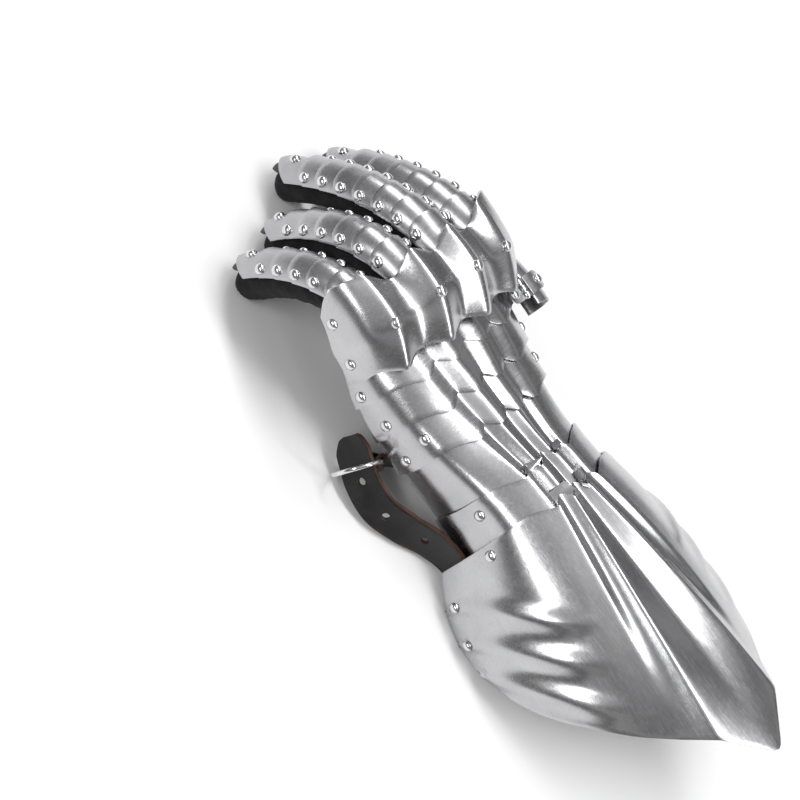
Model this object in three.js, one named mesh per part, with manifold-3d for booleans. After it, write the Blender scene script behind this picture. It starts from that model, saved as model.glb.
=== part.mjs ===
// Left-hand armoured gauntlet: fluted steel plates, lames on leather strips, a glove, a strap.
// Millimetres. +Z up, the back of the hand faces up, the forearm runs along +X (the cuff's
// point is the +X end), the fingers point to -X and the thumb lies on the +Y side. The gauntlet
// rests by itself on z = 0, on the leather finger tips and on the lower edges of the cuff wings.
import * as THREE from 'three';
import Module from 'manifold-3d';

const wasm = await Module();
wasm.setup();

// ---------------------------------------------------------------- driving dimensions
const STEEL = 1.2;            // plate thickness, 18 gauge
const LAME_STEEL = 1.0;       // finger lame thickness
const LEATHER = 1.8;          // glove and strip thickness
const GAP = 0.4;              // clearance between neighbouring pieces
const LIFT = 3.2;             // rise of a back lame over its length, so the next one slips under
const RIVET_RADIUS = 2.9;     // round-headed rivet
const RIVET_CROWN = 1.8;      // radius of the head's flat crown
const RIVET_HEIGHT = 2.0;
const RIVET_SIDES = 5;
const ZIGZAG = 6.5;           // how far a plate edge swings between a crest and a valley
const FLUTE_DEPTH = 2.6;      // valley depth between two crests of the back

// The back of the hand, one row per section. Crests are the raised flute lines, the shoulder is
// the turn from back to side and the hem is the lower edge. All y are half widths. thumbCut is
// how much higher the hem ends on the thumb side, where the thumb comes out.
const BACK_SECTIONS = [
  { x: 4, innerY: 12.0, innerZ: 67.0, outerY: 31.0, outerZ: 62.5, shoulderY: 46.0, shoulderZ: 51.0, hemY: 49.0, hemZ: 38.0, thumbCut: 10 },
  { x: 14, innerY: 10.8, innerZ: 64.5, outerY: 29.0, outerZ: 60.5, shoulderY: 44.5, shoulderZ: 49.5, hemY: 48.5, hemZ: 33.0, thumbCut: 10 },
  { x: 28, innerY: 9.5, innerZ: 61.0, outerY: 27.0, outerZ: 58.0, shoulderY: 42.0, shoulderZ: 48.0, hemY: 47.0, hemZ: 28.0, thumbCut: 9 },
  { x: 46, innerY: 7.0, innerZ: 57.5, outerY: 23.5, outerZ: 54.0, shoulderY: 39.0, shoulderZ: 46.0, hemY: 44.5, hemZ: 22.5, thumbCut: 6 },
  { x: 65, innerY: 6.2, innerZ: 56.5, outerY: 19.5, outerZ: 53.5, shoulderY: 36.0, shoulderZ: 45.5, hemY: 41.5, hemZ: 18.0, thumbCut: 2 },
  { x: 80, innerY: 5.8, innerZ: 58.5, outerY: 16.5, outerZ: 56.0, shoulderY: 34.0, shoulderZ: 46.5, hemY: 39.0, hemZ: 15.0, thumbCut: 0 },
  { x: 95, innerY: 5.6, innerZ: 61.5, outerY: 14.5, outerZ: 59.5, shoulderY: 33.0, shoulderZ: 48.5, hemY: 38.0, hemZ: 13.0, thumbCut: 0 },
  { x: 122, innerY: 6.4, innerZ: 64.5, outerY: 15.5, outerZ: 62.5, shoulderY: 34.5, shoulderZ: 50.0, hemY: 40.5, hemZ: 11.0, thumbCut: 0 },
];

// The cuff, one row per line that runs from the wrist edge to the free edge. Each line passes
// through three points: front, middle, rear. sharp lines are folded, the others are rounded.
const CUFF_LINES = [
  { sharp: true, front: [106, 0, 65.2], middle: [185, 0, 68.2], rear: [263, 0, 73.0] },
  { sharp: true, front: [112, 5.6, 68.2], middle: [175, 14.5, 71.2], rear: [240, 22.0, 69.5] },
  { sharp: false, front: [107, 10.0, 65.4], middle: [172, 19.5, 67.0], rear: [235, 27.0, 64.5] },
  { sharp: true, front: [111, 14.8, 66.6], middle: [168, 25.0, 66.4], rear: [229, 33.0, 58.5] },
  { sharp: false, front: [106, 27.0, 60.0], middle: [160, 36.5, 59.5], rear: [216, 45.5, 49.5] },
  { sharp: false, front: [106, 37.0, 52.5], middle: [153, 47.5, 49.0], rear: [203, 54.5, 40.0] },
  { sharp: false, front: [106, 43.8, 40.0], middle: [148, 55.5, 36.0], rear: [190, 61.0, 28.0] },
  { sharp: false, front: [106, 48.0, 24.0], middle: [142, 60.5, 20.0], rear: [174, 65.0, 16.0] },
  { sharp: false, front: [106, 50.0, 7.0], middle: [128, 59.5, 0.6], rear: [152, 64.5, 3.6] },
];

// The knuckle plate, one row per line from its finger edge over the knuckle ridge to its rear edge.
const KNUCKLE_LINES = [
  { sharp: false, front: [-17, 0, 84.0], ridge: [0, 0, 84.0], rear: [15, 0, 71.5] },
  { sharp: true, front: [-25, 13, 88.0], ridge: [0, 13, 88.6], rear: [21.5, 13, 73.5] },
  { sharp: false, front: [-18, 26, 80.6], ridge: [0, 26, 81.2], rear: [15, 26, 69.0] },
  { sharp: true, front: [-26, 39, 83.0], ridge: [0, 39, 81.6], rear: [20, 39, 67.5] },
  { sharp: false, front: [-29, 49.0, 78.0], ridge: [-2, 50.5, 73.0], rear: [13, 49.5, 61.5] },
  { sharp: false, front: [-29, 54.0, 69.5], ridge: [-5, 54.8, 61.0], rear: [12, 53.0, 53.0] },
  { sharp: false, front: [-23, 55.6, 59.0], ridge: [-7, 56.0, 50.5], rear: [9, 54.5, 44.0] },
];

// Back lames between the knuckle plate and the cuff. from and to are the plate's edges in the
// valleys, low and high are its height over the back's base form at those two edges.
const BACK_LAMES = [
  { name: 'back_lame_1', from: 5, to: 22, low: 0, high: LIFT, rivets: [[17, 0.9]] },
  { name: 'back_lame_2', from: 14, to: 40, low: 0, high: LIFT, rivets: [[34, 0.86]] },
  { name: 'back_lame_3', from: 31, to: 59, low: 0, high: LIFT, rivets: [[49, 0.72], [53, 0.9]] },
  { name: 'back_lame_4', from: 50, to: 97, low: 0, high: 0, rivets: [] },
  { name: 'wrist_lame', from: 86, to: 113, low: 2.0, high: 2.0, rivets: [[93, 0.78]] },
];

// The four fingers. start is where the covered root of the first lame begins on the outer line.
const FINGERS = [
  { name: 'pinky', y: -39, startX: -14, startZ: 76.4, startAngle: 14, lames: 5, width: 19.5 },
  { name: 'ring', y: -13, startX: -13, startZ: 81.6, startAngle: 6, lames: 6, width: 20.6 },
  { name: 'middle', y: 13, startX: -13, startZ: 82.2, startAngle: 5, lames: 7, width: 20.8 },
  { name: 'index', y: 39, startX: -13, startZ: 77.0, startAngle: 12, lames: 6, width: 20.6 },
];
const THUMB = { name: 'thumb', lames: 4, width: 20.4 };
const FIRST_LAME_END = 22;    // distal edge of the first lame, along the finger
const LAME_PITCH = 12.3;
const LAME_LENGTH = 20;
const LAME_LIFT = 2.3;
const LAME_ARCH = 7.4;        // height of a lame's arch over its side edges
const TIP_REACH = 20;         // how far the pointed tip plate passes the last lame
const STALL_RADIUS = 9.2;
const STALL_REACH = 6;        // how far the leather passes the tip plate
const FLOOR_DIP = 0.8;        // the soft tips are pressed flat by this much where they rest
const CURL_BIAS = 1.6;        // above 1 the finger bends more near its root

const MATERIAL = {
  steel: { color: 0xb4b5b8, roughness: 0.32, metalness: 1.0 },
  suede: { color: 0x17171a, roughness: 0.95, metalness: 0.0 },
  strip: { color: 0x3d3d3e, roughness: 0.6, metalness: 0.0 },
  strap: { color: 0x1c1817, roughness: 0.5, metalness: 0.0 },
};

// ---------------------------------------------------------------- small vector helpers
const vec = (x, y, z) => new THREE.Vector3(x, y, z);
const mix = (a, b, t) => a + (b - a) * t;
const radians = (degrees) => THREE.MathUtils.degToRad(degrees);
const clamp = (value, low, high) => Math.min(high, Math.max(low, value));

/** A sheet of points rows[i][j] with outward normals by its neighbours; flip turns them over. */
function sheetNormals(rows, flip) {
  const last = rows.length - 1;
  const side = rows[0].length - 1;
  return rows.map((row, i) => row.map((_, j) => {
    const along = rows[Math.min(i + 1, last)][j].clone().sub(rows[Math.max(i - 1, 0)][j]);
    const across = row[Math.min(j + 1, side)].clone().sub(row[Math.max(j - 1, 0)]);
    const normal = across.cross(along).normalize();
    return flip ? normal.negate() : normal;
  }));
}

/** Closed triangle mesh between an outer sheet and an inner sheet of the same grid. */
function closedSheet(outer, inner) {
  const last = outer.length - 1;
  const side = outer[0].length - 1;
  const positions = [];
  const index = [];
  [outer, inner].forEach((rows) => rows.forEach((row) => row.forEach((p) => positions.push(p.x, p.y, p.z))));
  const stride = side + 1;
  const layer = (last + 1) * stride;
  const quad = (a, b, c, d) => index.push(a, b, c, a, c, d);
  for (let i = 0; i < last; i += 1) {
    for (let j = 0; j < side; j += 1) {
      const a = i * stride + j;
      quad(a, a + 1, a + 1 + stride, a + stride);
      quad(layer + a, layer + a + stride, layer + a + 1 + stride, layer + a + 1);
    }
  }
  for (let j = 0; j < side; j += 1) {
    quad(j, layer + j, layer + j + 1, j + 1);
    const a = last * stride + j;
    quad(a, a + 1, layer + a + 1, layer + a);
  }
  for (let i = 0; i < last; i += 1) {
    const a = i * stride;
    quad(a, a + stride, layer + a + stride, layer + a);
    const b = a + side;
    quad(b, layer + b, layer + b + stride, b + stride);
  }
  return toManifold(positions, index);
}

/** Closed mesh of a tube wall with both ends open, or with its far end shut by a cap. */
function closedTube(outer, inner, capped) {
  const rings = outer.length;
  const sides = outer[0].length;
  const positions = [];
  const index = [];
  [outer, inner].forEach((rows) => rows.forEach((row) => row.forEach((p) => positions.push(p.x, p.y, p.z))));
  const layer = rings * sides;
  const quad = (a, b, c, d) => index.push(a, b, c, a, c, d);
  for (let i = 0; i < rings; i += 1) {
    for (let j = 0; j < sides; j += 1) {
      const k = (j + 1) % sides;
      const a = i * sides;
      if (i < rings - 1) {
        quad(a + j, a + k, a + sides + k, a + sides + j);
        quad(layer + a + j, layer + a + sides + j, layer + a + sides + k, layer + a + k);
      }
      if (i === 0) quad(j, layer + j, layer + k, k);
      if (i === rings - 1 && !capped) quad(a + j, a + k, layer + a + k, layer + a + j);
    }
  }
  if (capped) {
    const a = (rings - 1) * sides;
    for (let j = 1; j < sides - 1; j += 1) {
      index.push(a, a + j, a + j + 1);
      index.push(layer + a, layer + a + j + 1, layer + a + j);
    }
  }
  return toManifold(positions, index);
}

/** Manifold from raw triangles, turned inside out if its volume comes out negative. */
function toManifold(positions, index) {
  let volume = 0;
  const at = (i) => vec(positions[3 * i], positions[3 * i + 1], positions[3 * i + 2]);
  for (let t = 0; t < index.length; t += 3) {
    volume += at(index[t]).dot(at(index[t + 1]).cross(at(index[t + 2])));
  }
  const tris = volume < 0 ? index.slice().reverse() : index;
  const mesh = new wasm.Mesh({
    numProp: 3,
    vertProperties: new Float32Array(positions),
    triVerts: new Uint32Array(tris),
  });
  mesh.merge();
  return new wasm.Manifold(mesh);
}

/** Ring of sides points round centre, in the plane of axes u and v. */
function ring(centre, u, v, radiusU, radiusV, sides, turn = 0) {
  return Array.from({ length: sides }, (_, k) => {
    const angle = turn + (2 * Math.PI * k) / sides;
    return centre.clone()
      .addScaledVector(u, radiusU * Math.cos(angle))
      .addScaledVector(v, radiusV * Math.sin(angle));
  });
}

/** Solid lofted through closed rings, shut at both ends. */
function loft(rings) {
  const sides = rings[0].length;
  const positions = rings.flat().flatMap((p) => [p.x, p.y, p.z]);
  const index = [];
  for (let i = 0; i < rings.length - 1; i += 1) {
    for (let j = 0; j < sides; j += 1) {
      const k = (j + 1) % sides;
      const a = i * sides;
      index.push(a + j, a + k, a + sides + k, a + j, a + sides + k, a + sides + j);
    }
  }
  const end = (rings.length - 1) * sides;
  for (let j = 1; j < sides - 1; j += 1) {
    index.push(0, j + 1, j);
    index.push(end, end + j, end + j + 1);
  }
  return toManifold(positions, index);
}

/** Axes across a direction, for rings. */
function crossAxes(direction) {
  const helper = Math.abs(direction.z) < 0.9 ? vec(0, 0, 1) : vec(1, 0, 0);
  const u = helper.cross(direction).normalize();
  const v = direction.clone().cross(u).normalize();
  return [u, v];
}

/** Rivet head standing on a plate: point on the outer face, outward normal. */
function rivet(point, normal, sunk = STEEL * 0.6) {
  const [u, v] = crossAxes(normal);
  const foot = point.clone().addScaledVector(normal, -sunk);
  const crown = point.clone().addScaledVector(normal, RIVET_HEIGHT);
  return loft([
    ring(foot, u, v, RIVET_RADIUS, RIVET_RADIUS, RIVET_SIDES),
    ring(crown, u, v, RIVET_CROWN, RIVET_CROWN, RIVET_SIDES),
  ]);
}

// ---------------------------------------------------------------- scene graph
const gauntlet = new THREE.Group();
gauntlet.name = 'armoured_gauntlet';

/** Adds a manifold to the group as a named mesh. */
function addPiece(name, solid, look) {
  const mesh = solid.getMesh();
  const geometry = new THREE.BufferGeometry();
  geometry.setAttribute('position', new THREE.BufferAttribute(mesh.vertProperties, 3));
  geometry.setIndex(new THREE.BufferAttribute(mesh.triVerts, 1));
  geometry.computeVertexNormals();
  const piece = new THREE.Mesh(geometry, new THREE.MeshStandardMaterial(MATERIAL[look]));
  piece.name = name;
  gauntlet.add(piece);
}

// ---------------------------------------------------------------- back of the hand
/** Linear interpolation of a table's columns at x. */
function sectionAt(table, x) {
  const last = table.length - 1;
  const at = clamp(table.findIndex((row) => row.x > x), 1, last);
  const upper = x >= table[last].x ? last : at;
  const a = table[upper - 1];
  const b = table[upper];
  const t = clamp((x - a.x) / (b.x - a.x), 0, 1);
  return Object.fromEntries(Object.keys(a).map((key) => [key, mix(a[key], b[key], t)]));
}

// Places across the half back: 0 centre valley, then inner crest, valley, outer crest,
// two points on the flank, the shoulder, two points on the side and the hem.
const ACROSS_HALF = ['centre', 'inner', 'valley', 'outer', 'flank', 'shoulder', 'side', 'hem'];

const THUMB_CUT_SHARE = { side: 0.55, hem: 1 };

/** Point and edge swing of one named place of the half section. */
function backPlace(place, s) {
  const valleyY = (s.innerY + s.outerY) / 2;
  const valleyZ = (s.innerZ + s.outerZ) / 2 - FLUTE_DEPTH;
  const places = {
    centre: { y: 0, z: s.innerZ - FLUTE_DEPTH, swing: 0 },
    inner: { y: s.innerY, z: s.innerZ, swing: 1 },
    valley: { y: valleyY, z: valleyZ, swing: 0 },
    outer: { y: s.outerY, z: s.outerZ, swing: 1 },
    flank: { y: mix(s.outerY, s.shoulderY, 0.55), z: mix(s.outerZ, s.shoulderZ, 0.42), swing: 0.35 },
    shoulder: { y: s.shoulderY, z: s.shoulderZ, swing: 0.1 },
    side: { y: mix(s.shoulderY, s.hemY, 0.78), z: mix(s.shoulderZ, s.hemZ, 0.45), swing: 0 },
    hem: { y: s.hemY, z: s.hemZ, swing: -0.35 },
  };
  return places[place];
}

/** All places across the back, from the little-finger hem over the top to the thumb hem. */
function acrossBack() {
  const half = ACROSS_HALF.map((place) => ({ place, mirror: 1 }));
  const other = half.slice(1).reverse().map(({ place }) => ({ place, mirror: -1 }));
  return [...other, ...half];
}

/** Outer sheet of a back plate between two zigzag edges, lifted over the base form. */
function backSheet(from, to, low, high, steps) {
  return Array.from({ length: steps + 1 }, (_, i) => {
    const t = i / steps;
    return acrossBack().map(({ place, mirror }) => {
      const swing = backPlace(place, BACK_SECTIONS[0]).swing * ZIGZAG;
      const x = mix(from, to, t) + swing;
      const section = sectionAt(BACK_SECTIONS, x);
      const p = backPlace(place, section);
      const cut = mirror > 0 ? section.thumbCut * (THUMB_CUT_SHARE[place] ?? 0) : 0;
      return vec(x, p.y * mirror, p.z + cut);
    });
  }).map((row, i, rows) => {
    const lift = mix(low, high, i / steps);
    const normals = sheetNormals(rows, false)[i];
    return row.map((p, j) => p.clone().addScaledVector(upright(normals[j], p), lift));
  });
}

/** A normal made to point away from the hand's inside. */
function upright(normal, point) {
  const outwards = vec(0, point.y, Math.max(point.z - 25, 4));
  return normal.dot(outwards) < 0 ? normal.clone().negate() : normal;
}

/** The sheet moved inwards by a thickness. */
function innerSheet(rows, thickness) {
  const normals = sheetNormals(rows, false);
  return rows.map((row, i) => row.map((p, j) => p.clone().addScaledVector(upright(normals[i][j], p), -thickness)));
}

/** Point and outward normal on a sheet at grid fractions along and across. */
function onSheet(rows, along, across) {
  const i = along * (rows.length - 1);
  const j = across * (rows[0].length - 1);
  const i0 = Math.min(Math.floor(i), rows.length - 2);
  const j0 = Math.min(Math.floor(j), rows[0].length - 2);
  const a = rows[i0][j0].clone().lerp(rows[i0][j0 + 1], j - j0);
  const b = rows[i0 + 1][j0].clone().lerp(rows[i0 + 1][j0 + 1], j - j0);
  const point = a.clone().lerp(b, i - i0);
  const across3 = rows[i0][j0 + 1].clone().sub(rows[i0][j0]);
  const normal = across3.cross(b.sub(a)).normalize();
  return { point, normal: upright(normal, point) };
}

/** Joins rivet heads to a plate. */
function withRivets(plate, rows, spots) {
  return spots.reduce((solid, [along, across]) => {
    const { point, normal } = onSheet(rows, along, across);
    return solid.add(rivet(point, normal));
  }, plate);
}

for (const lame of BACK_LAMES) {
  const rows = backSheet(lame.from, lame.to, lame.low, lame.high, 2);
  const plate = closedSheet(rows, innerSheet(rows, STEEL));
  const spots = lame.rivets.flatMap(([x, reach]) => {
    const along = (x - lame.from) / (lame.to - lame.from);
    return [[along, 0.5 - reach / 2], [along, 0.5 + reach / 2]];
  });
  addPiece(lame.name, withRivets(plate, rows, spots), 'steel');
}

/** Quadratic curve through three points at t = 0, 0.5 and 1. */
function through(a, b, c, t) {
  const wa = (1 - t) * (1 - 2 * t);
  const wb = 4 * t * (1 - t);
  const wc = t * (2 * t - 1);
  return vec(wa * a[0] + wb * b[0] + wc * c[0], wa * a[1] + wb * b[1] + wc * c[1], wa * a[2] + wb * b[2] + wc * c[2]);
}

/** Smooth point between lines: Catmull-Rom across rounded lines, straight beside folds. */
function betweenLines(points, sharp, position) {
  const j = Math.min(Math.floor(position), points.length - 2);
  const t = position - j;
  const p1 = points[j];
  const p2 = points[j + 1];
  const p0 = sharp[j] || j === 0 ? p1.clone().multiplyScalar(2).sub(p2) : points[j - 1];
  const p3 = sharp[j + 1] || j + 2 >= points.length ? p2.clone().multiplyScalar(2).sub(p1) : points[j + 2];
  return new THREE.CatmullRomCurve3([p0, p1, p2, p3]).getPoint((1 + t) / 3);
}

/** Full-width sheet from a half table of lines; mirrored for the little-finger side. */
function linedSheet(lines, curve, steps, cuts) {
  const sharp = lines.map((line) => line.sharp);
  return Array.from({ length: steps + 1 }, (_, i) => {
    const points = lines.map((line) => curve(line, i / steps));
    const half = Array.from({ length: (lines.length - 1) * cuts + 1 }, (_, k) => betweenLines(points, sharp, k / cuts));
    const mirrored = half.slice(1).reverse().map((p) => vec(p.x, -p.y, p.z));
    return [...mirrored, ...half];
  });
}

// ---------------------------------------------------------------- knuckle plate
/** A knuckle line: straight from finger edge to ridge, straight from ridge to rear edge. */
function knuckleCurve(line, t) {
  const front = vec(...line.front);
  const ridge = vec(...line.ridge);
  const rear = vec(...line.rear);
  const bow = 0.9 * Math.sin(2 * Math.PI * Math.abs(t - 0.5));
  const point = t < 0.5 ? front.lerp(ridge, t * 2) : ridge.lerp(rear, t * 2 - 1);
  return point.add(vec(0, 0, bow));
}
const knuckleRows = linedSheet(KNUCKLE_LINES, knuckleCurve, 4, 2);
const knuckleWidth = (KNUCKLE_LINES.length - 1) * 4;
const knuckleSpot = (line, side) => 0.5 + (side * line * 2) / knuckleWidth;
const knuckleSpots = [1, -1].flatMap((side) => [
  [0.5, knuckleSpot(1, side)],
  [0.5, knuckleSpot(3, side)],
  [0.24, knuckleSpot(5.35, side)],
  [0.74, knuckleSpot(5.35, side)],
]);
const knucklePlate = closedSheet(knuckleRows, innerSheet(knuckleRows, STEEL));
addPiece('knuckle_plate', withRivets(knucklePlate, knuckleRows, knuckleSpots), 'steel');

// ---------------------------------------------------------------- cuff
const WING_FLUTES = [
  { from: [121, 0.97], to: [163, 0.50] },
  { from: [138, 0.97], to: [181, 0.53] },
  { from: [155, 0.97], to: [205, 0.52] },
];
const WING_FLUTE_HEIGHT = 2.2;
const WING_FLUTE_WIDTH = 0.075;

/** Height of the embossed wing flutes at x and at a fraction of the way from centre to hem. */
function wingEmboss(x, reach) {
  return WING_FLUTES.reduce((height, { from, to }) => {
    const t = (x - from[0]) / (to[0] - from[0]);
    if (t < 0 || t > 1) return height;
    const line = mix(from[1], to[1], t ** 0.8);
    const near = 1 - Math.abs(reach - line) / WING_FLUTE_WIDTH;
    const fade = Math.sin(Math.PI * clamp(0.12 + t * 0.88, 0, 1)) ** 0.6;
    return height + WING_FLUTE_HEIGHT * Math.max(0, near) * fade;
  }, 0);
}
const cuffCurve = (line, t) => through(line.front, line.middle, line.rear, t);
const cuffFlat = linedSheet(CUFF_LINES, cuffCurve, 9, 2);
const cuffNormals = sheetNormals(cuffFlat, false);
const cuffRows = cuffFlat.map((row, i) => row.map((p, j) => {
  const reach = Math.abs((2 * j) / (row.length - 1) - 1);
  return p.clone().addScaledVector(upright(cuffNormals[i][j], p), wingEmboss(p.x, reach));
}));
const cuffSpots = [1, -1].flatMap((side) => [
  [0.06, 0.5 + side * 0.37],
  [0.30, 0.5 + side * 0.475],
  [0.62, 0.5 + side * 0.475],
]);
const cuffPlate = closedSheet(cuffRows, innerSheet(cuffRows, STEEL));
addPiece('cuff', withRivets(cuffPlate, cuffRows, cuffSpots), 'steel');

// ---------------------------------------------------------------- fingers and thumb
// A digit's outer line lies in a plane with two axes: ahead, towards the tip, and out, away
// from the palm. Its heading turns from out of the hand towards the palm as it runs.
const LINE_STEP = 1;

/** Heading angle of a digit, in degrees below its ahead axis, at a distance along it. */
function heading(digit, distance) {
  const t = clamp(distance / digit.length, 0, 1);
  return mix(digit.startAngle, digit.endAngle, 1 - (1 - t) ** digit.bias);
}

/** Point, forward, outward and sideways axes of a digit at a distance along its outer line. */
function digitFrame(digit, distance) {
  const { ahead, out } = digit;
  const point = digit.start.clone();
  const steps = Math.max(1, Math.round(Math.abs(distance) / LINE_STEP));
  const step = distance / steps;
  for (let k = 0; k < steps; k += 1) {
    const angle = radians(heading(digit, (k + 0.5) * step));
    point.addScaledVector(ahead, step * Math.cos(angle)).addScaledVector(out, -step * Math.sin(angle));
  }
  const angle = radians(heading(digit, distance));
  const forward = ahead.clone().multiplyScalar(Math.cos(angle)).addScaledVector(out, -Math.sin(angle));
  const normal = out.clone().multiplyScalar(Math.cos(angle)).addScaledVector(ahead, Math.sin(angle));
  return { point, forward, normal, side: forward.clone().cross(normal) };
}

const ARCH_ANGLE = 74;        // half opening of a lame's arch
const LAME_ACROSS = [-1, -0.46, 0, 0.46, 1];
const LAME_ALONG = 2;
const CORNER = 4.5;           // rounding of a lame's free corners

/** One point of a lame's arch: across runs from -1 to 1, lift is along the arch's own normal. */
function archPoint(frame, width, across, lift, arch = LAME_ARCH) {
  const angle = radians(ARCH_ANGLE * across);
  const wide = width / 2 / Math.sin(radians(ARCH_ANGLE));
  const tall = arch / (1 - Math.cos(radians(ARCH_ANGLE)));
  const size = Math.hypot(tall * Math.sin(angle), wide * Math.cos(angle));
  return frame.point.clone()
    .addScaledVector(frame.side, wide * Math.sin(angle) + (lift * tall * Math.sin(angle)) / size)
    .addScaledVector(frame.normal, tall * (Math.cos(angle) - 1) + (lift * wide * Math.cos(angle)) / size);
}

/** Outer sheet of a lame. shape bends its free edge: how far it draws back at the sides. */
function lameSheet(digit, from, to, low, high, shape, along = LAME_ALONG) {
  return Array.from({ length: along + 1 }, (_, i) => {
    const t = i / along;
    return LAME_ACROSS.map((across) => {
      const reach = mix(from, to - shape(Math.abs(across)), t);
      const lift = mix(low, high, (reach - from) / (to - from));
      return archPoint(digitFrame(digit, reach), digit.width, across, lift);
    });
  });
}

/** The sheet moved towards the inside of a digit. */
function innerLame(rows, digit, thickness) {
  const normals = sheetNormals(rows, false);
  return rows.map((row, i) => row.map((p, j) => {
    const n = normals[i][j];
    const outwards = digitFrame(digit, digit.length * 0.5).normal;
    const middle = row[(row.length - 1) / 2];
    const away = p.clone().sub(middle).addScaledVector(outwards, 12);
    const sign = n.dot(away) < 0 ? 1 : -1;
    return p.clone().addScaledVector(n, sign * thickness);
  }));
}

/** Rivet head on a digit's plate at a distance along and a fraction across. */
function lameRivet(digit, distance, across, lift) {
  const frame = digitFrame(digit, distance);
  const point = archPoint(frame, digit.width, across, lift);
  const beside = archPoint(frame, digit.width, across + 0.02, lift);
  const normal = frame.forward.clone().cross(beside.sub(point)).normalize();
  return rivet(point, normal.dot(frame.normal) < 0 ? normal.negate() : normal, LAME_STEEL * 0.6);
}

const roundCorners = (across) => CORNER * Math.max(0, (across - 0.6) / 0.4) ** 2;
const POINT_DRAW = 10;        // how far the tip plate's sides stop short of its point
const pointedEnd = (across) => POINT_DRAW * across ** 1.2;
const LAME_RIVET_BACK = 5.0;  // rivet centre behind a lame's free edge
const LAME_RIVET_ACROSS = 0.72;
const TIP_RIVET_BACK = 10;

/** Lames and pointed tip plate of one digit. */
function addPlates(digit) {
  for (let k = 0; k < digit.lames; k += 1) {
    const to = digit.firstEnd + k * LAME_PITCH;
    const rows = lameSheet(digit, to - LAME_LENGTH, to, 0, LAME_LIFT, roundCorners);
    let plate = closedSheet(rows, innerLame(rows, digit, LAME_STEEL));
    const lift = LAME_LIFT * (1 - LAME_RIVET_BACK / LAME_LENGTH);
    for (const across of [-LAME_RIVET_ACROSS, LAME_RIVET_ACROSS]) {
      plate = plate.add(lameRivet(digit, to - LAME_RIVET_BACK, across, lift));
    }
    addPiece(`${digit.name}_lame_${k + 1}`, plate, 'steel');
  }
  const from = digit.firstEnd + digit.lames * LAME_PITCH - LAME_LENGTH;
  const rows = lameSheet(digit, from, digit.length, 0, 1.2, pointedEnd, 3);
  const lift = 1.2 * (1 - TIP_RIVET_BACK / (digit.length - from));
  const plate = closedSheet(rows, innerLame(rows, digit, LAME_STEEL));
  const head = lameRivet(digit, digit.length - TIP_RIVET_BACK, 0, lift);
  addPiece(`${digit.name}_tip_plate`, plate.add(head), 'steel');
}

const STRIP_DEPTH = LAME_STEEL + 2 * GAP;      // strip's upper face under the outer line
const STRIP_LEATHER = 1.5;
const STALL_DEPTH = STRIP_DEPTH + STRIP_LEATHER + 2 * GAP + STALL_RADIUS;
const STALL_SIDES = 8;
const STALL_RINGS = 7;
const STRIP_ACROSS = 0.6;     // of the lame's arch

/** Ring of a stall: flattened on top, so that the strip lies on it. */
function stallRing(digit, distance, radius) {
  const frame = digitFrame(digit, distance);
  const centre = frame.point.clone().addScaledVector(frame.normal, -STALL_DEPTH);
  return ring(centre, frame.side, frame.normal, radius, radius, STALL_SIDES, Math.PI / STALL_SIDES);
}

/** Rows of a stall wall from its root to its rounded end. */
function stallRows(digit, radius, reach) {
  const straight = reach - radius * 0.8;
  const rings = Array.from({ length: STALL_RINGS - 2 }, (_, i) => {
    return stallRing(digit, mix(digit.stallFrom, straight, i / (STALL_RINGS - 3)), radius);
  });
  rings.push(stallRing(digit, straight + radius * 0.55, radius * 0.82));
  rings.push(stallRing(digit, straight + radius * 0.8, radius * 0.42));
  return rings;
}

/** Lowest point of a digit's leather for a trial end angle. */
function lowestPoint(digit) {
  return Math.min(...stallRows(digit, STALL_RADIUS, digit.length + STALL_REACH).flat().map((p) => p.z));
}

/** Bends a finger until its soft tip is FLOOR_DIP below the floor. */
function curlToFloor(digit) {
  let low = 20;
  let high = 120;
  for (let k = 0; k < 30; k += 1) {
    digit.endAngle = (low + high) / 2;
    if (lowestPoint(digit) > -FLOOR_DIP) low = digit.endAngle;
    else high = digit.endAngle;
  }
}

const FLOOR_SIZE = 600;
const floorBlock = loft([
  ring(vec(0, 0, -60), vec(1, 0, 0), vec(0, 1, 0), FLOOR_SIZE, FLOOR_SIZE, 4),
  ring(vec(0, 0, 0), vec(1, 0, 0), vec(0, 1, 0), FLOOR_SIZE, FLOOR_SIZE, 4),
]);

/** Leather finger stall, hollow and open at its root. */
function stallSolid(digit) {
  const reach = digit.length + STALL_REACH;
  const outer = stallRows(digit, STALL_RADIUS, reach);
  const inner = stallRows(digit, STALL_RADIUS - LEATHER, reach - LEATHER);
  return closedTube(outer, inner, true).subtract(floorBlock);
}

/** Smooth leather strip between the lames and the stall. */
function stripSolid(digit) {
  const rowsAlong = digit.stripRows;
  const acrossCount = 4;
  const sheet = (depth) => Array.from({ length: rowsAlong + 1 }, (_, i) => {
    const reach = mix(digit.stripFrom, digit.length + STALL_REACH - 3, i / rowsAlong);
    const frame = digitFrame(digit, reach);
    const narrow = 1 - 0.45 * clamp((reach - digit.length + 4) / 9, 0, 1) ** 2;
    return Array.from({ length: acrossCount + 1 }, (_, j) => {
      const across = (2 * j) / acrossCount - 1;
      return archPoint(frame, digit.width, across * STRIP_ACROSS * narrow, -depth);
    });
  });
  return closedSheet(sheet(STRIP_DEPTH), sheet(STRIP_DEPTH + STRIP_LEATHER)).subtract(floorBlock);
}

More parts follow.
